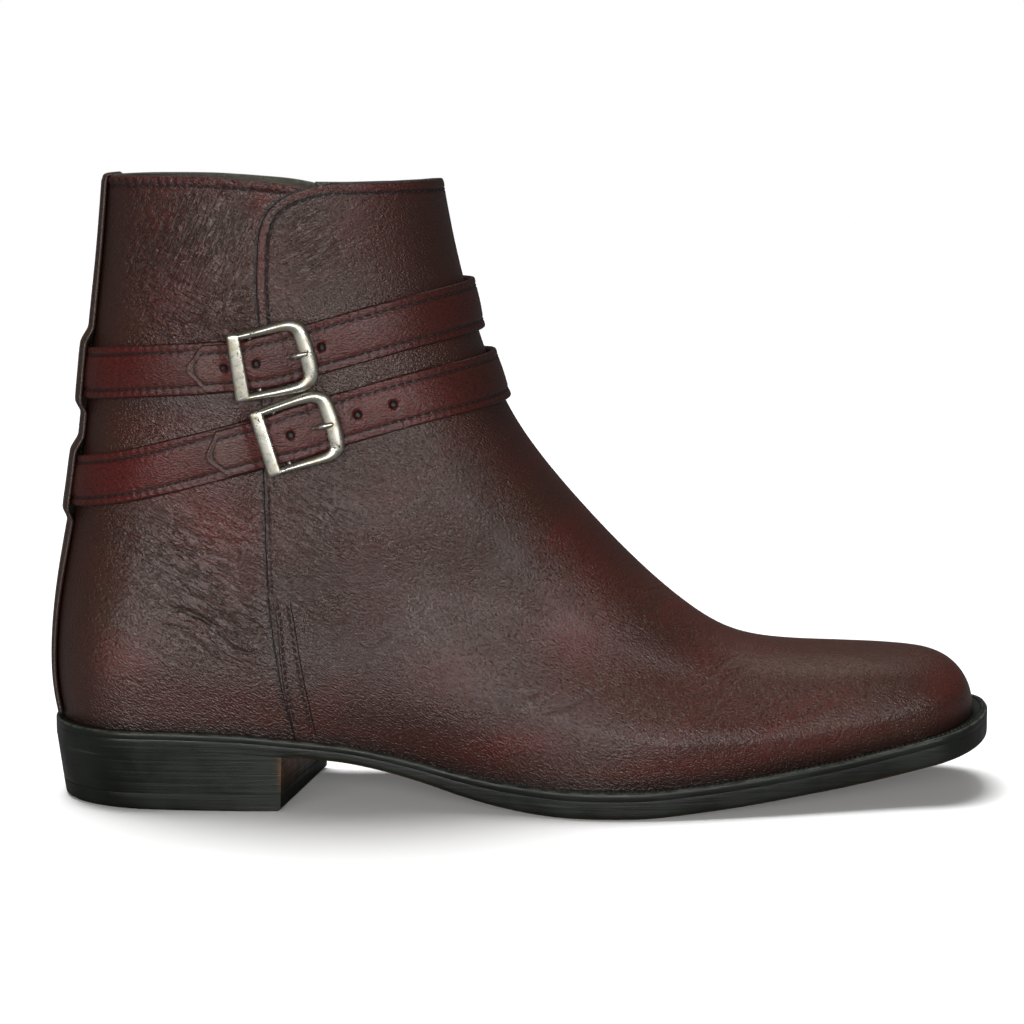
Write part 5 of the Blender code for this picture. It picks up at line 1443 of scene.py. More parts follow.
def strap_mesh(name, band, stations_s, width_of, height_of, thick_of, holes, mat, seed, tip=None, row_inset=2.7):
    rng = np.random.default_rng(seed)
    loops, dye_and_painted_shade, red, pale = [], [], [], []
    wob = rng.normal(0, 1, (6, 3))
    full = STRAP_WIDTH / 2
    for s in stations_s:
        w, thick, h = width_of(s), thick_of(s), height_of(s)
        section = strap_profile(w, thick)
        a, o, is_top = section.T
        from_edge = w / 2 - np.abs(a)
        rel = np.zeros(len(a))
        # stitched groove, ripples outside it, and a low crown between the rows
        inset = row_inset
        pitch_phase = np.cos(2 * math.pi * s / STITCH_PITCH)
        if tip is None or s > tip + 4.4:
            rel += -0.30 * np.exp(-((from_edge - inset) / 0.5) ** 2)
        rel += 0.09 * pitch_phase * smooth((inset - from_edge) / 0.8) * smooth(from_edge / 0.6)
        rel += 0.05 * pitch_phase * np.exp(-((from_edge - inset - 0.9) / 0.8) ** 2)
        crown = np.clip(1 - (np.abs(a) / (full - inset)) ** 2, 0, 1)
        rel += 0.26 * crown
        for k in range(3):
            rel += 0.05 * wob[k, 0] * np.sin(s / (5.5 + 2.3 * k) + wob[k, 1] * 3 + a * 0.12 * wob[k, 2])
        # creases across the strap
        for at, depth in CROSS_CREASES.get(name, ()):
            d = np.abs(s - at - 0.12 * a)
            rel += -depth * np.exp(-(d / 0.55) ** 2) + 0.35 * depth * np.exp(-((d - 1.2) / 0.7) ** 2)
        # painted shade in the punched holes
        dark = np.zeros(len(a))
        for q in holes:
            r = np.hypot(s - q, a)
            rel += -1.5 * smooth((HOLE_RADIUS + 0.28 - r) / 0.5) - 0.16 * np.exp(-((r - 1.6) / 0.9) ** 2)
            dark = np.maximum(dark, smooth((HOLE_RADIUS + 0.45 - r) / 0.5))
        if tip is not None and s < tip + 8:
            # the stitched row follows the point
            tipdist = (s - tip) * 0.78
            d = np.minimum(from_edge, tipdist + 0.35)
            rel += -0.30 * np.exp(-((d - inset * 0.8) / 0.5) ** 2) * (s < tip + 4.4)
        o = o + rel * is_top * (1 if thick > 1.0 else 0.4)
        loops.append(band.place(np.full(len(a), s), a, o + h))
        # painted shade in the stitched groove; the strap's sides, underside and top edges are dyed dark
        t = 0.9 * np.exp(-((from_edge - inset) / 0.5) ** 2) * is_top
        t = np.maximum(t, 0.7 * (1 - is_top))
        t = np.maximum(t, 0.6 * (1 - smooth(from_edge / 0.9)) * is_top)
        dye_and_painted_shade.append(np.maximum(t, dark * 1.0))
        red.append(np.full(len(a), strap_red(band, s)))
        pale.append(np.full(len(a), 0.0 if tip is None else 0.4 * float(smooth((tip + 15 - s) / 9))))
    verts, faces = np.concatenate(loops), []
    n, rows = len(loops[0]), len(loops)
    for r in range(rows - 1):
        for i in range(n):
            j = (i + 1) % n
            faces.append((r * n + i, r * n + j, (r + 1) * n + j, (r + 1) * n + i))
    dye_and_painted_shade, red, pale = np.concatenate(dye_and_painted_shade), np.concatenate(red), np.concatenate(pale)
    # ends: a middle vertex closes each
    for k, base in ((0, 0), (1, (rows - 1) * n)):
        c = verts[base:base + n].mean(0)
        verts = np.concatenate([verts, [c]])
        dye_and_painted_shade, red, pale = np.append(dye_and_painted_shade, 0.7), np.append(red, 0.2), np.append(pale, 0.0)
        for i in range(n):
            j = (i + 1) % n
            faces.append((base + i, base + j, len(verts) - 1) if k else (base + j, base + i, len(verts) - 1))
    obj = add_mesh(name, to_row(verts), faces, mat, {"dye_and_painted_shade": dye_and_painted_shade, "red": red, "pale": pale, "lines": np.zeros(len(verts))})
    return outline_faces_out(obj)


CROSS_CREASES = {
    "strap_upper_long_skin": (),
}


def strap_red(band, s):
    """Redder stretches of a strap, by distance along it."""
    rows = {"upper": ((20, 14, 0.5), (36, 12, 0.9), (66, 20, 0.75), (104, 22, 0.75), (130, 16, 0.35)),
            "lower": ((30, 16, 0.9), (52, 16, 0.8), (84, 14, 0.7), (112, 24, 1.0), (138, 18, 0.6))}[band.which]
    near = sum(a * math.exp(-((s - c) / w) ** 2) for c, w, a in rows)
    far = sum(a * math.exp(-((s - band.front - c) / w) ** 2) for c, w, a in rows)
    fade = float(smooth((s - band.front - 5) / 60))
    return float(near * (1 - fade) + far * fade)


def make_strap_skins(mat, thread):
    done = []
    thread_places = []
    for which in ("upper", "lower"):
        band = Band(which)
        s_mid, s_tip = buckle_places(band, which)
        half = FRAME_WINDOW / 2
        s_bar = s_mid - half + 2.6
        s_left = s_mid - half - BAR / 2
        s_right = s_mid + half + BAR / 2
        holes = [band.at_x(x) for x in HOLES[which]]
        # the long end
        keys = [s_tip, s_tip + 6, s_left - 7, s_left - 2, s_bar, s_mid + 2, s_right - 3, s_right + 3, s_right + 9, s_right + 16]
        lift = [REST + STRAP + 0.35, REST + STRAP + 0.35, REST + STRAP + 0.4, REST + 3.5, REST + 3.9, REST + 3.1,
                REST + 1.5, REST + 0.8, REST + 0.1, REST]

        def height(s, keys=keys, lift=lift):
            return float(monotone(keys, lift, s)) if s < keys[-1] else REST

        def width(s, s_left=s_left, s_tip=s_tip):
            w = STRAP_WIDTH - 1.4 * (1 - float(smooth((s - s_left) / 10)))
            return min(w, 2.6 + 12.4 * (s - s_tip) / 5.0 + (0.3 if s > s_tip + 5 else 0))
        end = band.length - 0.8
        fine = np.arange(s_tip + 0.0, s_right + 24, 0.42)
        rest = np.arange(s_right + 24, end, 0.85)
        CROSS_CREASES[f"strap_{which}_long_skin"] = tuple((s_right + d, p) for d, p in ((2.6, 0.10), (4.6, 0.14), (7.4, 0.10), (10.6, 0.12), (15.0, 0.06)))
        skin = strap_mesh(f"strap_{which}_long_skin", band, np.concatenate([fine, rest, [end]]), width, height,
                          lambda s: STRAP, holes, mat, 5 if which == "upper" else 6, tip=s_tip)
        done.append((skin, f"strap_{which}_long"))
        # the short end
        start, short_end = 0.8, s_bar - 1.9
        CROSS_CREASES[f"strap_{which}_short_skin"] = ((21.0, 0.10), (26.5, 0.12), (29.5, 0.10))
        skin = strap_mesh(f"strap_{which}_short_skin", band, np.append(np.arange(start, short_end, 0.5), short_end),
                          lambda s, s_left=s_left: STRAP_WIDTH - 0.6 * float(smooth((s - (s_left - 8)) / 6)),
                          lambda s: REST, lambda s, s_left=s_left: STRAP - 0.9 * float(smooth((s - (s_left - 6)) / 6)),
                          [], mat, 7 if which == "upper" else 8)
        done.append((skin, f"strap_{which}_short"))
        # stitches of both ends
        inset = 2.7
        for sign in (-1, 1):
            s = np.arange(12.0, s_tip - 0.5 if s_tip < short_end else short_end, 0.5)
            a = sign * (STRAP_WIDTH / 2 - inset)
            p = band.place(s, np.full(len(s), a), np.full(len(s), REST + STRAP - 0.16))
            thread_places += row_places(p, band.frame(s)[3], STITCH_PITCH, 0.0, 0.08, jitter=0.05, seed=3)
            s = np.arange(s_tip + 4.6, end - 12.0, 0.5)
            w = np.array([width(q) for q in s])
            h = np.array([height(q) for q in s]) + STRAP - 0.16
            clear = (np.abs(s - s_left) > BAR / 2 - 0.4) & (np.abs(s - s_right) > BAR / 2 - 0.2)
            p = band.place(s, sign * (w / 2 - inset), h)
            n = band.frame(s)[3]
            # runs between the buckle's bars
            cuts = np.flatnonzero(np.diff(clear.astype(int)) != 0) + 1
            for run in np.split(np.arange(len(s)), cuts):
                if clear[run[0]] and len(run) > 8:
                    thread_places += row_places(p[run], n[run], STITCH_PITCH, 0.0, 0.08, jitter=0.05, seed=4)
            # slanting along the point
            u = np.linspace(0, 1, 14)
            s = s_tip + 2.1 + u * 2.6
            a = sign * (0.15 + u * (width(s_tip + 5.2) / 2 - inset))
            p = band.place(s, a, np.array([height(q) for q in s]) + STRAP - 0.12)
            thread_places += row_places(p, band.frame(s)[3], 2.3, 0.0, 0.08, scale=0.9, seed=4)
    verts, faces = stitch_mesh(thread_places, 2.0, 0.29)
    stitches = outline_faces_out(add_mesh("stitches_straps", to_row(verts), faces, thread))
    return done, stitches


# ---------------------------------------------------------------- buckles
def closed_tube(loops, caps=True):
    n, rows = len(loops[0]), len(loops)
    verts = np.concatenate(loops)
    faces = []
    for r in range(rows - 1):
        for i in range(n):
            j = (i + 1) % n
            faces.append((r * n + i, r * n + j, (r + 1) * n + j, (r + 1) * n + i))
    if caps:
        for k, base in ((0, 0), (1, (rows - 1) * n)):
            c = verts[base:base + n].mean(0)
            verts = np.concatenate([verts, [c]])
            for i in range(n):
                j = (i + 1) % n
                faces.append((base + i, base + j, len(verts) - 1) if k else (base + j, base + i, len(verts) - 1))
    return verts, faces


# section of the frame: share across the bar, height
FRAME_SECTION = [(0.0, 0.35), (0.0, 0.9), (0.0, 1.45), (0.05, 1.72), (0.13, 1.9), (0.25, 2.08), (0.38, 2.22), (0.5, 2.28), (0.6, 2.24),
                 (0.72, 2.1), (0.84, 1.88), (0.93, 1.62), (0.98, 1.3), (1.0, 0.95), (1.0, 0.5), (0.95, 0.22), (0.85, 0.05), (0.7, 0.0),
                 (0.3, 0.0), (0.14, 0.05), (0.04, 0.18)]
INNER_EDGE = [
    # along, across of the window's edge from its middle, one half
    (-9.6, 8.5), (-6.0, 8.5), (-2.0, 8.5), (2.0, 8.45), (5.3, 8.3), (7.0, 7.95), (8.05, 7.3), (8.4, 6.0), (8.45, 4.0), (8.5, 2.0), (8.55, 0.0),
]
OUTER_EDGE = [
    (-9.6, 10.75), (-6.0, 10.9), (-2.0, 11.1), (2.6, 11.4), (6.8, 11.5), (9.8, 10.85), (11.9, 9.2), (12.85, 6.9), (13.2, 4.6), (13.35, 2.3), (13.4, 0.0),
]


def make_buckle_skins(mat, which, seed):
    band = Band(which)
    s_mid, _ = buckle_places(band, which)
    half = FRAME_WINDOW / 2
    s_bar = s_mid - half + 2.6
    s_left = s_mid - half - BAR / 2
    s_right = s_mid + half + BAR / 2
    base = frame_lift(s_mid, half)
    side = half + FRAME_SIDE / 2

    def full(points):
        p = np.array(points, float)
        p = np.concatenate([p, p[-2::-1] * [1, -1]])
        t = np.linspace(0, 1, len(p))
        u = np.linspace(0, 1, 121)
        return np.stack([spline(t, p[:, k], u) for k in (0, 1)], 1)
    inner, outer = full(INNER_EDGE), full(OUTER_EDGE)
    loops = []
    for (ia, it), (oa, ot) in zip(inner, outer):
        sec = []
        for share, q in FRAME_SECTION:
            a, t = ia + (oa - ia) * share, it + (ot - it) * share
            sec.append((s_mid + a, t, float(base(s_mid + a)) + q))
        sec = np.array(sec)
        loops.append(band.place(sec[:, 0], sec[:, 1], sec[:, 2]))
    verts, faces = closed_tube(loops)
    parts = [(verts, faces)]
    # keeper bar: flat, slightly bowed, with rounded ends
    high_left = REST + 6.1
    loops = []
    reach = side + 1.15
    for u in np.linspace(-1, 1, 41):
        t = reach * math.sin(u * math.pi / 2)
        near = min(1.0, (reach - abs(t)) / 1.1)
        round_ = math.sqrt(max(0.02, 1 - (1 - near) ** 2))
        w = BAR * 0.98 * (0.72 + 0.28 * round_)
        hh = 0.55 + 0.45 * round_
        bow = 0.35 * (1 - (t / reach) ** 2)
        sec = []
        for p, q in ((-0.5, 0.35), (-0.5, 0.9), (-0.5, 1.5), (-0.47, 1.85), (-0.4, 2.08), (-0.28, 2.22), (-0.12, 2.3), (0.12, 2.3), (0.28, 2.22), (0.4, 2.08),
                     (0.47, 1.85), (0.5, 1.5), (0.5, 0.9), (0.5, 0.35), (0.46, 0.1), (0.36, -0.05), (0.0, -0.05), (-0.36, -0.05), (-0.46, 0.1)):
            sec.append((s_left + p * w, t, high_left + 1.1 + (q - 1.1) * hh + bow * 0.3))
        sec = np.array(sec)
        loops.append(band.place(sec[:, 0], sec[:, 1], sec[:, 2]))
    parts.append(closed_tube(loops))
    # hidden bar and its posts
    low = REST + 2.2
    loops = []
    for t in (-side - 0.7, -side, side, side + 0.7):
        sec = np.array([(s_bar + 0.85 * math.cos(a), t, low + 0.85 * math.sin(a)) for a in np.linspace(0, 2 * math.pi, 13)[:-1]])
        loops.append(band.place(sec[:, 0], sec[:, 1], sec[:, 2]))
    parts.append(closed_tube(loops))
    for sign in (-1, 1):
        loops = []
        for h in (low - 0.9, float(base(s_bar)) + 1.0):
            sec = np.array([(s_bar + 1.0 * math.cos(a), sign * side + 0.75 * math.sin(a), h) for a in np.linspace(0, 2 * math.pi, 13)[:-1]])
            loops.append(band.place(sec[:, 0], sec[:, 1], sec[:, 2]))
        parts.append(closed_tube(loops))
    verts, faces = [], []
    for v, f in parts:
        o = sum(len(q) for q in verts)
        verts.append(v)
        faces += [tuple(i + o for i in q) for q in f]
    frame_obj = outline_faces_out(add_mesh(f"buckle_{which}_frame_fine", to_row(np.concatenate(verts)), faces, mat, smooth_angle=42))
    # prong
    top_right = float(base(s_right)) + 2.2 + 0.28
    rows = np.array([
        (s_right - 2.2 - 4.2, REST + 3.9 + 0.5, 0.7), (s_right - 2.2 - 3.2, REST + 3.9 + 1.2, 0.78), (s_right - 2.2 - 1.6, top_right + 0.1, 0.82),
        (s_right - 2.2, top_right + 0.72, 0.86), (s_right - 1.0, top_right + 0.76, 0.84), (s_right - 0.1, top_right + 0.72, 0.78),
        (s_right + 0.5, top_right + 0.66, 0.66), (s_right + 0.85, top_right + 0.6, 0.42), (s_right + 0.98, top_right + 0.58, 0.12)])
    t = np.linspace(0, 1, len(rows))
    u = np.linspace(0, 1, 36)
    fine = np.stack([np.interp(u, t, rows[:, k]) for k in range(3)], 1)
    loops = []
    for s, h, r in fine:
        sec = np.array([(s, r * math.cos(a), h + 0.75 * min(1.0, r / 0.6) * math.sin(a)) for a in np.linspace(0, 2 * math.pi, 19)[:-1]])
        loops.append(band.place(sec[:, 0], sec[:, 1], sec[:, 2]))
    v, f = closed_tube(loops)
    prong = outline_faces_out(add_mesh(f"buckle_{which}_prong_fine", to_row(v), f, mat, smooth_angle=50))
    return frame_obj, prong


# ---------------------------------------------------------------- back strip
def make_backstay_skin(mat):
    rows = backstay_rows()
    keys, heights = [r[0] for r in rows], [r[1] for r in rows]
    w, r = BACKSTAY_WIDTH / 2, 0.6
    section = []
    for t in np.linspace(-(w - r), w - r, 30):
        section.append((t, BACKSTAY, 1.0))
    for a in np.linspace(90, -60, 6)[1:]:
        section.append((w - r + r * math.cos(math.radians(a)), BACKSTAY - r + r * math.sin(math.radians(a)), 0.0))
    for t in np.linspace(w - 0.6, -(w - 0.6), 9):
        section.append((t, 0.0, 0.0))
    for a in np.linspace(240, 90, 6)[:-1]:
        section.append((-(w - r) + r * math.cos(math.radians(a)), BACKSTAY - r + r * math.sin(math.radians(a)), 0.0))
    sec = np.array(section)
    loops, dye_and_painted_shade = [], []

    def loop(z, h, thick_scale=1.0):
        from_edge = w - np.abs(sec[:, 0])
        rel = (-0.2 * np.exp(-((from_edge - 1.9) / 0.45) ** 2) + 0.05 * np.cos(2 * math.pi * z / STITCH_PITCH) * smooth((1.9 - from_edge) / 0.6) * smooth(from_edge / 0.5)) * sec[:, 2]
        return back_point(sec[:, 0], np.full(len(sec), z), h + (sec[:, 1] + rel) * thick_scale)
    for z in np.concatenate([[27.4], np.arange(28.0, 198.6, 0.75)]):
        h = float(monotone(keys, heights, z))
        loops.append(loop(z, h))
        from_edge = w - np.abs(sec[:, 0])
        # painted shade in the stitched grooves and towards the strip's lower end; its rounded sides are dyed dark
        t = 0.55 * np.exp(-((from_edge - 1.9) / 0.5) ** 2) * sec[:, 2] + 0.25 * (1 - sec[:, 2])
        dye_and_painted_shade.append(np.maximum(t, 0.6 * (1 - smooth((z - 27) / 8))))
    # folded over the collar and down inside: the section turns about the collar's edge
    top = COLLAR_BACK + 0.55
    n_in = UPPER_WALL + 0.3
    turns = 9
    ys = sec[:, 0]
    for k in range(1, turns + 1):
        a = math.pi * k / turns
        # centre of the turn is over the middle of the wall
        mid_out = (0.45 - n_in) / 2
        rad = (0.45 + n_in) / 2
        under_out = mid_out + rad * math.cos(a)
        under_up = 0.35 * math.sin(a)
        over_out = mid_out + (rad + 1.0) * math.cos(a)
        over_up = under_up + 0.95 * max(0.0, math.sin(a)) ** 0.7 if a < math.pi - 1e-6 else 0.0
        flat = 1 - 0.85 * float(smooth((a - 0.42 * math.pi) / (0.25 * math.pi)))
        under_up, over_up = under_up * flat, over_up * flat
        share = sec[:, 1] / BACKSTAY
        out = under_out + (over_out - under_out) * share
        up = under_up + (over_up - under_up) * share
        p = back_point(ys, np.full(len(sec), top - 1.2), out)
        p[:, 2] = top - 1.2 + 0.9 + up - 0.2
        loops.append(p)
        dye_and_painted_shade.append(np.full(len(sec), 0.3))
    for z in (top - 3, top - 8, top - 12.5):
        p = back_point(ys, np.full(len(sec), z), -n_in - 1.0 * sec[:, 1] / BACKSTAY)
        loops.append(p)
        dye_and_painted_shade.append(np.full(len(sec), 0.4))
    verts, faces = closed_tube(loops)
    dye_and_painted_shade = np.append(np.concatenate(dye_and_painted_shade), [0.5, 0.5])
    obj = add_mesh("backstay_skin", to_row(verts), faces, mat, {"dye_and_painted_shade": dye_and_painted_shade, "red": np.full(len(dye_and_painted_shade), 0.1), "lines": np.zeros(len(dye_and_painted_shade))})
    return outline_faces_out(obj)


def backstay_stitches(mat):
    rows = backstay_rows()
    keys, heights = [r[0] for r in rows], [r[1] for r in rows]
    places = []
    for sign in (-1, 1):
        zs = np.arange(30.0, 197.0, 0.6)
        hs = np.array([float(monotone(keys, heights, z)) for z in zs]) + BACKSTAY - 0.12
        p = back_point(np.full(len(zs), sign * (BACKSTAY_WIDTH / 2 - 1.9)), zs, hs)
        q = back_point(np.full(len(zs), sign * (BACKSTAY_WIDTH / 2 - 1.9)), zs, hs + 0.5)
        places += row_places(p, q - p, STITCH_PITCH, 0.0, 0.06, jitter=0.04)
    verts, faces = stitch_mesh(places, 2.0, 0.27)
    return outline_faces_out(add_mesh("stitches_backstay", to_row(verts), faces, mat))


# ---------------------------------------------------------------- sole and heel
def plate_mesh(name, sides, levels, mat, paint, smooth_angle=40):
    """A closed plate from outline levels; paint gives one value for each level."""
    n = len(sides[0][0])
    verts, faces, tint = [], [], []
    for (x, outer, inner), z_of, value in zip(sides, levels, paint):
        z = z_of(x)
        loop_ = [(x[i], outer[i], z[i]) for i in range(n)]
        loop_ += [(x[i], inner[i], z[i]) for i in range(n - 2, 0, -1)]
        verts += loop_
        value = np.broadcast_to(value, x.shape)
        tint += [value[i] for i in range(n)] + [value[i] for i in range(n - 2, 0, -1)]
    m = 2 * n - 2
    for r in range(len(sides) - 1):
        for i in range(m):
            j = (i + 1) % m
            faces.append((r * m + i, r * m + j, (r + 1) * m + j, (r + 1) * m + i))
    for base in (0, (len(sides) - 1) * m):
        faces.append((base, base + 1, base + m - 1))
        for i in range(1, n - 2):
            faces.append((base + i, base + i + 1, base + m - i - 1, base + m - i))
        faces.append((base + n - 2, base + n - 1, base + n))
    obj = add_mesh(name, to_row(verts), faces, mat, {"tan": tint}, smooth_angle)
    return outline_faces_out(obj)


def lift(z_of, dz):
    return lambda x: z_of(x) + dz


def share_between(a, b, t):
    return lambda x: a(x) + (b(x) - a(x)) * t


def make_outsole_skin(mat, n=170):
    rows = [
        # inset, height over the underside, how bare the leather is
        (4.0, 0.0, 1.0), (1.9, 0.0, 1.0), (1.3, 0.03, 0.9), (0.8, 0.15, 0.75), (0.45, 0.38, 0.5), (0.2, 0.7, 0.15), (0.06, 1.1, 0.0), (0.0, 1.6, 0.0)]
    # over the heel the edge goes straight down to the heel's leather
    full = outline_sides(0.02, n)
    sides, paint = [], []
    for inset, _, bare in rows:
        drawn = outline_sides(inset, n)
        fore = smooth((drawn[0] - 76.5) / 5.0)
        share = 0.03 + 0.97 * fore
        sides.append(tuple(a * (1 - share) + b * share for a, b in zip(full, drawn)))
        waist = 1 - 0.45 * smooth((drawn[0] - 118) / 20) * smooth((262 - drawn[0]) / 20)
        paint.append(bare * fore * waist)
    levels = [lift(underside, h) for _, h, _ in rows]
    for t in (0.5, 0.75, 0.97, 1.0):
        sides.append(outline_sides(0.0 if t < 0.9 else (0.01 if t < 1 else 0.04), n))
        levels.append(share_between(underside, outsole_top, t))
        paint.append(0.0)
    return plate_mesh("outsole_skin", sides, levels, mat, paint)


def make_welt_skin(mat, n=150):
    x, outer, inner = outline_sides(0.0, 260)
    edge = np.concatenate([np.stack([x, outer, x * 0], 1), np.stack([x, inner, x * 0], 1)[-2:0:-1]])
    feather = ring(0.0, n)
    hole = outset(feather, -0.3)
    s_edge = resample_closed_to(edge, outset(feather, GAP))

    def level(loop_, z_of, dz):
        out = loop_.copy()
        out[:, 2] = z_of(loop_[:, 0]) + dz
        return out
    # a thumbed edge: bevel at the top, flat face, tucked under at the joint with the sole
    rows = [level(hole, outsole_top, 0.03), level(outset(s_edge, -0.05), outsole_top, 0.03), level(outset(s_edge, -0.01), outsole_top, 0.10),
            level(s_edge, share_between(outsole_top, welt_top, 0.5), 0.0), level(outset(s_edge, -0.02), welt_top, -0.62),
            level(outset(s_edge, -0.18), welt_top, -0.36), level(outset(s_edge, -0.5), welt_top, -0.12), level(outset(s_edge, -0.85), welt_top, -0.04),
            level(outset(s_edge, -1.25), welt_top, 0.0)]
    inner_top = level(outset(feather, 0.5), welt_top, -0.1)
    mid1 = 0.66 * rows[-1] + 0.34 * inner_top
    mid2 = 0.33 * rows[-1] + 0.67 * inner_top
    for q, dz in ((mid1, -0.02), (mid2, -0.14)):
        q[:, 2] = welt_top(q[:, 0]) + dz
    rows += [mid1, mid2, inner_top, level(hole, welt_top, -0.4)]
    m = len(hole)
    verts = np.concatenate(rows)
    faces = []
    k = len(rows)
    for r in range(k):
        o, q = r * m, ((r + 1) % k) * m
        for i in range(m):
            j = (i + 1) % m
            faces.append((o + i, o + j, q + j, q + i))
    worn = [0, 0, 0, 0, 0.25, 1.0, 0.55, 0.1, 0, 0, 0, 0, 0]
    tint = np.repeat(worn, m)
    obj = add_mesh("welt_skin", to_row(verts), faces, mat, {"tan": np.zeros(len(verts)), "worn": tint}, 50)
    return outline_faces_out(obj)


def welt_stitches(mat):
    x, outer, inner = outline_sides(1.7, 300)
    loop_ = np.concatenate([np.stack([x, outer, x * 0], 1), np.stack([x, inner, x * 0], 1)[-2:0:-1]])
    loop_[:, 2] = welt_top(loop_[:, 0]) + 0.02
    # forward of the waist, on both sides and round the toe
    keep = loop_[:, 0] > 92
    first = int(np.flatnonzero(~keep & np.roll(keep, -1))[0]) + 1
    line = np.roll(loop_, -first, 0)[:int(keep.sum())]
    normals = np.tile([0.0, 0.0, 1.0], (len(line), 1))
    places = row_places(line, normals, 1.75, 0.0, 0.55, jitter=0.06, seed=9)
    verts, faces = stitch_mesh(places, 1.75, 0.42)
    return outline_faces_out(add_mesh("stitches_welt", to_row(verts), faces, mat))


def heel_loop(z_of, inset_back, inset_side, shift, n):
    o, i = heel_sides(inset_back, inset_side, shift, n)
    flat = np.concatenate([o, i[-1:0:-1]])
    z = z_of(flat[:, 0]) if callable(z_of) else np.full(len(flat), float(z_of))
    return np.stack([flat[:, 0], flat[:, 1], z], 1)


def make_heel_skins(stack_mat, rubber_mat, n=80):
    def block(name, loops, mat, tan):
        m = len(loops[0])
        verts, faces = np.concatenate(loops), []
        for r in range(len(loops) - 1):
            for i in range(m):
                j = (i + 1) % m
                faces.append((r * m + i, r * m + j, (r + 1) * m + j, (r + 1) * m + i))
        for base in (0, (len(loops) - 1) * m):
            faces.append((base, base + 1, base + m - 1))
            for i in range(1, n):
                faces.append((base + i, base + i + 1, base + m - i - 1, base + m - i))
        obj = add_mesh(name, to_row(verts), faces, mat, {"tan": tan(verts)}, 40)
        return outline_faces_out(obj)
    seat = lambda x: underside(x) - 0.04
    floor_ = HEEL_TOP_PIECE + 0.12

    def back(down):
        return 0.05 + 2.75 * down

    def side(down):
        return 0.05 + 3.75 * down
    loops = []
    joints = (0.24, 0.5, 0.76)       # joints between the heel's leather lifts
    marks = sorted(set(list(np.linspace(0, 1, 14)) + [j + d for j in joints for d in (-0.014, 0.0, 0.014)]))
    for t in marks:
        down = 0.02 + 0.68 * t
        dip = 0.05 * max(math.exp(-((t - j) / 0.008) ** 2) for j in joints)
        edge = 0.05 if t in (marks[0], marks[-1]) else 0.0
        loops.append(heel_loop((lambda x, t=t: seat(x) + (floor_ - seat(x)) * t), back(down) + dip + edge, side(down) + dip + edge, -0.4 * down - dip - edge, n))

    def stack_tan(v):
        # bare leather on the upper part of the heel's front
        front = smooth((v[:, 0] - 73.6) / 1.2)
        return 0.9 * front * np.exp(-((v[:, 1] + 27) / 9.0) ** 2) * smooth((v[:, 2] - 7.5) / 4) + 0.25 * front
    stack = block("heel_stack_skin", loops, stack_mat, stack_tan)
    loops = []
    for down, z, e in ((0.705, HEEL_TOP_PIECE, 0.06), (0.71, HEEL_TOP_PIECE - 0.08, 0.0), (0.8, 3.6, 0.0), (0.9, 1.9, 0.0), (0.96, 0.75, 0.03), (1.0, 0.35, 0.25), (1.04, 0.12, 0.6), (1.1, 0.0, 1.1)):
        loops.append(heel_loop(z, back(min(down, 1.0)) + e, side(min(down, 1.0)) + e, -0.4 * min(down, 1) - e, n))
    piece = block("heel_top_piece_skin", loops, rubber_mat, lambda v: np.zeros(len(v)))
    return stack, piece


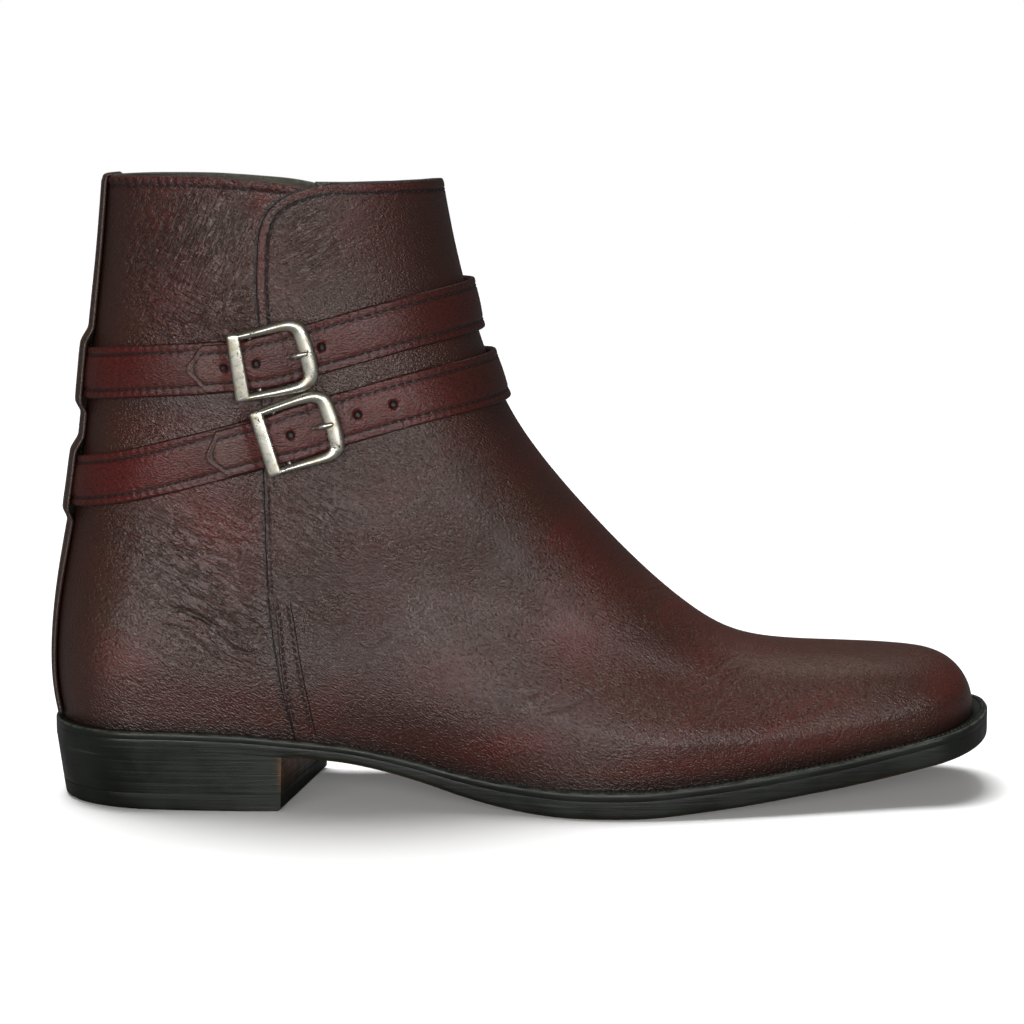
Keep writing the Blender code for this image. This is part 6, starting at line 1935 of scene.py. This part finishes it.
# ---------------------------------------------------------------- materials
class Tree:
    """Short calls for building a material's nodes."""

    def __init__(self, name):
        self.mat = bpy.data.materials.new(name)
        self.mat.use_nodes = True
        self.t = self.mat.node_tree
        self.p = self.t.nodes["Principled BSDF"]
        coords = self.t.nodes.new("ShaderNodeTexCoord")
        self.at = coords.outputs["Object"]

    def link(self, value, socket):
        if isinstance(value, bpy.types.NodeSocket):
            self.t.links.new(value, socket)
        elif isinstance(value, (tuple, list)) and len(value) == 3 and socket.type == "RGBA":
            socket.default_value = (*value, 1)
        else:
            socket.default_value = value

    def node(self, kind, inputs=None, **props):
        n = self.t.nodes.new(kind)
        for k, v in props.items():
            setattr(n, k, v)
        for k, v in (inputs or {}).items():
            self.link(v, n.inputs[k])
        return n

    def attr(self, name):
        return self.node("ShaderNodeAttribute", attribute_name=name).outputs["Fac"]

    def mapped(self, scale=(1, 1, 1), turn=(0, 0, 0)):
        """Coordinates turned first and then multiplied by scale, so a pattern can be drawn out in any direction."""
        n = self.node("ShaderNodeMapping", {"Rotation": [math.radians(a) for a in turn], "Scale": [1.0 / k for k in scale]}, vector_type="TEXTURE")
        self.link(self.at, n.inputs["Vector"])
        return n.outputs["Vector"]

    def noise(self, scale, detail=2.0, vector=None, rough=0.5, distortion=0.0):
        n = self.node("ShaderNodeTexNoise", {"Vector": vector or self.at, "Scale": scale, "Detail": detail, "Roughness": rough, "Distortion": distortion})
        return n.outputs["Fac"]

    def cells(self, scale, vector=None, feature="F1", smoothness=0.5, randomness=1.0):
        n = self.node("ShaderNodeTexVoronoi", feature=feature)
        self.link(vector or self.at, n.inputs["Vector"])
        n.inputs["Scale"].default_value = scale
        n.inputs["Randomness"].default_value = randomness
        if feature == "SMOOTH_F1":
            n.inputs["Smoothness"].default_value = smoothness
        return n.outputs["Distance"]

    def math(self, op, a, b=0.0, c=None, clamp=False):
        n = self.node("ShaderNodeMath", operation=op, use_clamp=clamp)
        self.link(a, n.inputs[0])
        self.link(b, n.inputs[1])
        if c is not None:
            self.link(c, n.inputs[2])
        return n.outputs[0]

    def ramp(self, value, lo, hi, to_lo=0.0, to_hi=1.0):
        n = self.node("ShaderNodeMapRange", {"Value": value, "From Min": lo, "From Max": hi, "To Min": to_lo, "To Max": to_hi}, clamp=True, interpolation_type="SMOOTHSTEP")
        return n.outputs["Result"]

    def mix(self, share, a, b, kind="MIX"):
        n = self.node("ShaderNodeMix", data_type="RGBA", blend_type=kind)
        self.link(share, n.inputs["Factor"])
        self.link(a, n.inputs[6])
        self.link(b, n.inputs[7])
        return n.outputs[2]

    def bump(self, height, distance, strength=1.0, normal=None):
        n = self.node("ShaderNodeBump", {"Height": height, "Distance": distance, "Strength": strength})
        if normal is not None:
            self.link(normal, n.inputs["Normal"])
        return n.outputs["Normal"]

    def set(self, **values):
        for k, v in values.items():
            self.link(v, self.p.inputs[k.replace("_", " ")])


def leather(name, brown, burgundy, red, dark, grain=1.0, depth=0.85, roughness=0.26, line_turn=-27.0, grain_turn=34.0, coat=0.05, level=0.62):
    """Polished calf: pebble grain, fine broken lines, uneven burgundy dye, dark dyed edges, and painted shade along the
    welt, the silhouettes, seams, stitch grooves and creases.
    """
    m = Tree(name)
    dye_and_painted_shade, redness, lines, creased, inside, pale, polish = (m.attr(k) for k in ("dye_and_painted_shade", "red", "lines", "creased", "inside", "pale", "polish"))
    # dye
    cloud = m.noise(24.0, 4.0, rough=0.62)
    streak = m.noise(1.0, 3.0, m.mapped((20.0, 9.0, 55.0), (0, -30, 0)), rough=0.6)
    c = m.mix(m.ramp(cloud, 0.36, 0.64), brown, burgundy)
    c = m.mix(m.math("MULTIPLY", m.ramp(streak, 0.52, 0.74), 0.25), c, red)
    patchy = m.ramp(m.noise(30.0, 3.0, rough=0.5), 0.30, 0.65, 0.60, 1.0)
    c = m.mix(m.math("MULTIPLY", redness, patchy, clamp=True), c, red)
    # grain: rounded pebbles, finer pores, lines drawn out where the leather is pulled or bent
    pebble = m.noise(grain, 1.6, m.mapped((1020.0, 1400.0, 2250.0), (0, grain_turn, 0)), rough=0.6)
    drawn = m.math("ABSOLUTE", m.math("SUBTRACT", m.noise(1.0, 2.0, m.mapped((150.0, 260.0, 1050.0), (0, line_turn, 0)), rough=0.55), 0.5))
    drawn = m.math("MULTIPLY", m.ramp(drawn, 0.0, 0.085, 1.0, 0.0), lines)
    cracked = m.math("ABSOLUTE", m.math("SUBTRACT", m.noise(1.0, 3.0, m.mapped((105.0, 200.0, 520.0), (0, 30, 0)), rough=0.6), 0.5))
    cracked = m.math("MULTIPLY", m.ramp(cracked, 0.0, 0.05, 1.0, 0.0), creased)
    h = m.math("SUBTRACT", pebble, m.math("MULTIPLY", drawn, 0.30))
    h = m.math("SUBTRACT", h, m.math("MULTIPLY", cracked, 0.42))
    normal = m.bump(h, 0.00055, depth)
    # dye and wax gather in pits and lines
    pits = m.math("MAXIMUM", m.ramp(pebble, 0.32, 0.53, 0.62, 0.0), m.math("MAXIMUM", m.math("MULTIPLY", drawn, 0.55), m.math("MULTIPLY", cracked, 0.7)))
    c = m.mix(pale, c, (0.150, 0.080, 0.066))
    # the darkest colour goes into the dark dyed edges and, as painted shade, along the welt, the silhouettes, seams,
    # stitch grooves, creases and shaded patches
    c = m.mix(m.math("MAXIMUM", pits, dye_and_painted_shade, clamp=True), c, dark)
    c = m.mix(inside, c, (0.075, 0.072, 0.052))
    m.set(Base_Color=c, Normal=normal)
    r = m.math("ADD", m.ramp(cloud, 0.3, 0.7, roughness - 0.03, roughness + 0.05), m.math("MULTIPLY", dye_and_painted_shade, 0.10))
    r = m.math("SUBTRACT", r, m.math("MULTIPLY", polish, 0.10))
    m.link(r, m.p.inputs["Roughness"])
    m.p.inputs["Specular IOR Level"].default_value = level
    m.p.inputs["Coat Weight"].default_value = coat
    m.p.inputs["Coat Roughness"].default_value = 0.25
    return m.mat


def plain_leather(name, light, deep, roughness, scale=500.0, height=0.0006):
    m = Tree(name)
    c = m.mix(m.ramp(m.noise(60.0, 4.0, rough=0.6), 0.3, 0.7), light, deep)
    pebble = m.cells(scale, smoothness=0.6)
    h = m.math("ADD", pebble, m.math("MULTIPLY", m.noise(2400.0, 2.0), 0.4))
    m.set(Base_Color=c, Normal=m.bump(h, height, 0.15))
    m.link(m.ramp(m.noise(90.0, 3.0), 0.3, 0.7, roughness - 0.06, roughness + 0.06), m.p.inputs["Roughness"])
    return m.mat


def sole_black(name, streaks=True, roughness=0.40, layers=False):
    """Leather edge stained black and waxed, with rubbed streaks along it."""
    m = Tree(name)
    tan, worn = m.attr("tan"), m.attr("worn")
    black, green, grey = (0.0055, 0.0068, 0.0052), (0.0125, 0.0155, 0.0112), (0.075, 0.080, 0.066)
    along = m.noise(1.0, 4.0, m.mapped((26.0, 26.0, 900.0)), rough=0.6)
    cloud = m.noise(34.0, 3.0)
    c = m.mix(m.ramp(cloud, 0.35, 0.7), black, green)
    rub = m.math("MULTIPLY", m.ramp(along, 0.60, 0.74), m.ramp(m.noise(60.0, 3.0), 0.42, 0.66))
    c = m.mix(m.math("MULTIPLY", rub, 0.45), c, grey)
    c = m.mix(m.math("MULTIPLY", worn, m.ramp(m.noise(240.0, 3.0), 0.35, 0.65, 0.15, 1.0)), c, grey)
    bare = m.mix(m.ramp(m.noise(120.0, 4.0, rough=0.65), 0.3, 0.7), (0.17, 0.075, 0.035), (0.09, 0.04, 0.022))
    c = m.mix(m.math("MULTIPLY", tan, m.ramp(m.noise(160.0, 3.0), 0.25, 0.6, 0.35, 1.0), clamp=True), c, bare)
    h = m.math("ADD", m.math("MULTIPLY", along, 1.0), m.math("MULTIPLY", m.noise(1500.0, 3.0), 0.35))
    if layers:
        fine = m.noise(1.0, 3.0, m.mapped((18.0, 18.0, 1500.0)), rough=0.55)
        h = m.math("ADD", h, m.math("MULTIPLY", fine, 0.8))
    m.set(Base_Color=c, Normal=m.bump(h, 0.00028, 0.35))
    m.link(m.ramp(m.noise(120.0, 3.0), 0.3, 0.7, roughness - 0.07, roughness + 0.09), m.p.inputs["Roughness"])
    m.p.inputs["Specular IOR Level"].default_value = 0.35
    m.p.inputs["Coat Weight"].default_value = 0.05
    m.p.inputs["Coat Roughness"].default_value = 0.25
    return m.mat


def metal(name):
    """Antiqued nickel: bright worn faces, warm tarnish in patches, dark pits."""
    m = Tree(name)
    bright, warm, dark = (0.62, 0.61, 0.54), (0.36, 0.31, 0.22), (0.04, 0.03, 0.02)
    cloud = m.noise(210.0, 4.0, rough=0.65)
    c = m.mix(m.ramp(cloud, 0.46, 0.72), bright, warm)
    pits = m.math("MULTIPLY", m.ramp(m.noise(1200.0, 2.0, rough=0.7), 0.56, 0.64), m.ramp(m.noise(170.0, 2.0), 0.50, 0.60))
    c = m.mix(pits, c, dark)
    m.set(Base_Color=c, Normal=m.bump(m.math("SUBTRACT", m.math("MULTIPLY", m.noise(420.0, 3.0), 0.5), pits), 0.00022, 0.35))
    m.p.inputs["Metallic"].default_value = 1.0
    m.link(m.math("ADD", m.ramp(cloud, 0.3, 0.75, 0.24, 0.42), m.math("MULTIPLY", pits, 0.3)), m.p.inputs["Roughness"])
    return m.mat


def thread(name, colour, light):
    m = Tree(name)
    twist = m.noise(2200.0, 2.0)
    m.set(Base_Color=m.mix(m.ramp(m.noise(300.0, 2.0), 0.45, 0.75, 0.0, 0.6), colour, light), Normal=m.bump(twist, 0.0002, 0.5))
    m.p.inputs["Roughness"].default_value = 0.62
    return m.mat


# ---------------------------------------------------------------- camera, light, floor
def set_stage():
    scene = bpy.context.scene
    scene.view_settings.view_transform = "Standard"
    data = bpy.data.cameras.new("camera")
    camera = bpy.data.objects.new("camera", data)
    scene.collection.objects.link(camera)
    camera.location = (0.1486825 - 0.032, -0.990268, 0.230516)
    camera.rotation_euler = (math.radians(82), 0, 0)
    data.sensor_width = 36
    data.lens = 36 * 3083 / 1024
    data.clip_start = 0.01
    scene.camera = camera

    floor = bpy.data.meshes.new("floor")
    floor.from_pydata([(-4, -4, -0.0002), (4, -4, -0.0002), (4, 4, -0.0002), (-4, 4, -0.0002)], [], [(0, 1, 2, 3)])
    obj = bpy.data.objects.new("floor", floor)
    scene.collection.objects.link(obj)
    m = bpy.data.materials.new("pale_floor")
    m.use_nodes = True
    p = m.node_tree.nodes["Principled BSDF"]
    p.inputs["Base Color"].default_value = (0.92, 0.92, 0.92, 1)
    p.inputs["Roughness"].default_value = 0.9
    p.inputs["Specular IOR Level"].default_value = 0.0
    p.inputs["Emission Color"].default_value = (1, 1, 1, 1)
    # the floor is pale, and throws little light back on the polished leather
    nodes, links = m.node_tree.nodes, m.node_tree.links
    path = nodes.new("ShaderNodeLightPath")
    pale = nodes.new("ShaderNodeMix")
    pale.data_type = "RGBA"
    pale.inputs[6].default_value = (FLOOR_BOUNCE, FLOOR_BOUNCE, FLOOR_BOUNCE, 1)
    pale.inputs[7].default_value = (0.94, 0.94, 0.94, 1)
    links.new(path.outputs["Is Camera Ray"], pale.inputs["Factor"])
    links.new(pale.outputs[2], p.inputs["Base Color"])
    glow = nodes.new("ShaderNodeMath")
    glow.operation = "MULTIPLY"
    glow.inputs[1].default_value = FLOOR_GLOW
    links.new(path.outputs["Is Camera Ray"], glow.inputs[0])
    links.new(glow.outputs[0], p.inputs["Emission Strength"])
    floor.materials.append(m)

    world = bpy.data.worlds.new("studio")
    scene.world = world
    world.use_nodes = True
    t = world.node_tree
    back = t.nodes["Background"]
    back.inputs["Color"].default_value = (1, 1, 1, 1)
    path = t.nodes.new("ShaderNodeLightPath")
    mapr = t.nodes.new("ShaderNodeMapRange")
    mapr.inputs["To Min"].default_value = WORLD_LIGHT
    mapr.inputs["To Max"].default_value = 1.0
    t.links.new(path.outputs["Is Camera Ray"], mapr.inputs["Value"])
    t.links.new(mapr.outputs["Result"], back.inputs["Strength"])

    for name, place, aim, size, power, tint in LIGHTS:
        if name == "room_light":
            lamp = bpy.data.lights.new(name, "SUN")
            lamp.angle = math.radians(size[0])
        else:
            lamp = bpy.data.lights.new(name, "AREA")
            lamp.shape = "RECTANGLE"
            lamp.size, lamp.size_y = size
        lamp.energy = power
        lamp.color = tint
        o = bpy.data.objects.new(name, lamp)
        scene.collection.objects.link(o)
        o.location = place
        d = np.array(aim, float) - np.array(place, float)
        d /= np.linalg.norm(d)
        side = np.cross(d, [0, 0, 1.0])
        if np.linalg.norm(side) < 1e-3:
            side = np.array([1.0, 0, 0])
        side /= np.linalg.norm(side)
        up = np.cross(side, d)
        from mathutils import Matrix
        o.matrix_world = Matrix([[side[k], up[k], -d[k], place[k]] for k in range(3)] + [[0, 0, 0, 1]])
        o.visible_camera = False
        o.visible_glossy = name != "room_light"


FLOOR_GLOW = 0.05
FLOOR_BOUNCE = 0.12
WORLD_LIGHT = 0.07
LIGHTS = [
    # name, place, aim, size across and up (or the angle of a very wide lamp), power, tint
    ("front_softbox", (0.04, -1.42, 0.31), (0.08, 0.0, 0.12), (2.3, 0.34), 20.5, (1.0, 0.99, 0.97)),
    ("overhead_softbox", (0.14, 0.35, 1.20), (0.14, 0.0, 0.0), (1.2, 0.5), 3.5, (1.0, 1.0, 1.0)),
    ("room_light", (-0.22, 0.52, 2.0), (0.12, 0.0, 0.0), (36.0, 0.0), 3.4, (1.0, 1.0, 1.0)),
]

set_stage()

# the fourth colour of each leather is its darkest: for grain pits, dyed edges and painted shade
mats = {
    "vamp": leather("burgundy_calf_vamp", (0.053, 0.0190, 0.0120), (0.058, 0.0150, 0.0105), (0.115, 0.0140, 0.0108), (0.009, 0.0054, 0.0042)),
    "quarter": leather("burgundy_calf_quarter", (0.057, 0.0215, 0.0135), (0.061, 0.0170, 0.0118), (0.120, 0.0150, 0.0115), (0.009, 0.0054, 0.0042), 0.85, 0.90, line_turn=-64.0),
    "strap": leather("burgundy_strap_calf", (0.036, 0.0140, 0.0100), (0.048, 0.0130, 0.0098), (0.098, 0.0130, 0.0105), (0.008, 0.0046, 0.0038), 0.9, 0.55, 0.31, grain_turn=-10.0, level=0.40),
    "backstay": leather("brown_back_calf", (0.044, 0.026, 0.0165), (0.048, 0.0225, 0.0150), (0.08, 0.016, 0.012), (0.010, 0.0060, 0.0046), 0.9, 0.55, 0.38),
    "lining": plain_leather("grey_olive_lining", (0.105, 0.105, 0.075), (0.060, 0.058, 0.040), 0.7),
    "insole": plain_leather("tan_insole", (0.36, 0.22, 0.12), (0.26, 0.15, 0.08), 0.62),
    "edge": sole_black("black_sole_edge"),
    "stack": sole_black("black_heel_stack", layers=True),
    "rubber": sole_black("black_top_piece", roughness=0.5),
    "metal": metal("antiqued_nickel"),
    "thread": thread("dark_thread", (0.010, 0.0065, 0.0055), (0.026, 0.015, 0.013)),
    "welt_thread": thread("black_thread", (0.010, 0.010, 0.008), (0.05, 0.048, 0.038)),
}


def place(obj, slot, *nodes):
    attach(obj, "root")
    if nodes:
        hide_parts(*nodes)


place(make_vamp(mats["vamp"]), "upper_leather", "upper")
place(make_quarter(mats["quarter"]), "upper_leather", "upper")
place(make_lining(mats["lining"]), "upper_leather")
place(make_bar(mats["vamp"]), "upper_leather")
for stitches in upper_stitches(mats["thread"]):
    place(stitches, "upper_leather")
skins, strap_threads = make_strap_skins(mats["strap"], mats["thread"])
for skin, node in skins:
    place(skin, "strap_leather", node)
place(strap_threads, "strap_leather")
for k, which in enumerate(("upper", "lower")):
    body, prong = make_buckle_skins(mats["metal"], which, k)
    place(body, "buckle_metal", f"buckle_{which}_frame")
    place(prong, "buckle_metal", f"buckle_{which}_prong")
place(make_backstay_skin(mats["backstay"]), "strap_leather", "backstay")
place(backstay_stitches(mats["thread"]), "strap_leather")
place(make_outsole_skin(mats["edge"]), "sole_edge", "outsole")
place(make_welt_skin(mats["edge"]), "sole_edge", "welt")
place(welt_stitches(mats["welt_thread"]), "sole_edge")
stack, top_piece = make_heel_skins(mats["stack"], mats["rubber"])
place(stack, "heel_block", "heel_stack")
place(top_piece, "heel_rubber", "heel_top_piece")
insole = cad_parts["insole"]
insole.data.materials.clear()
insole.data.materials.append(mats["insole"])
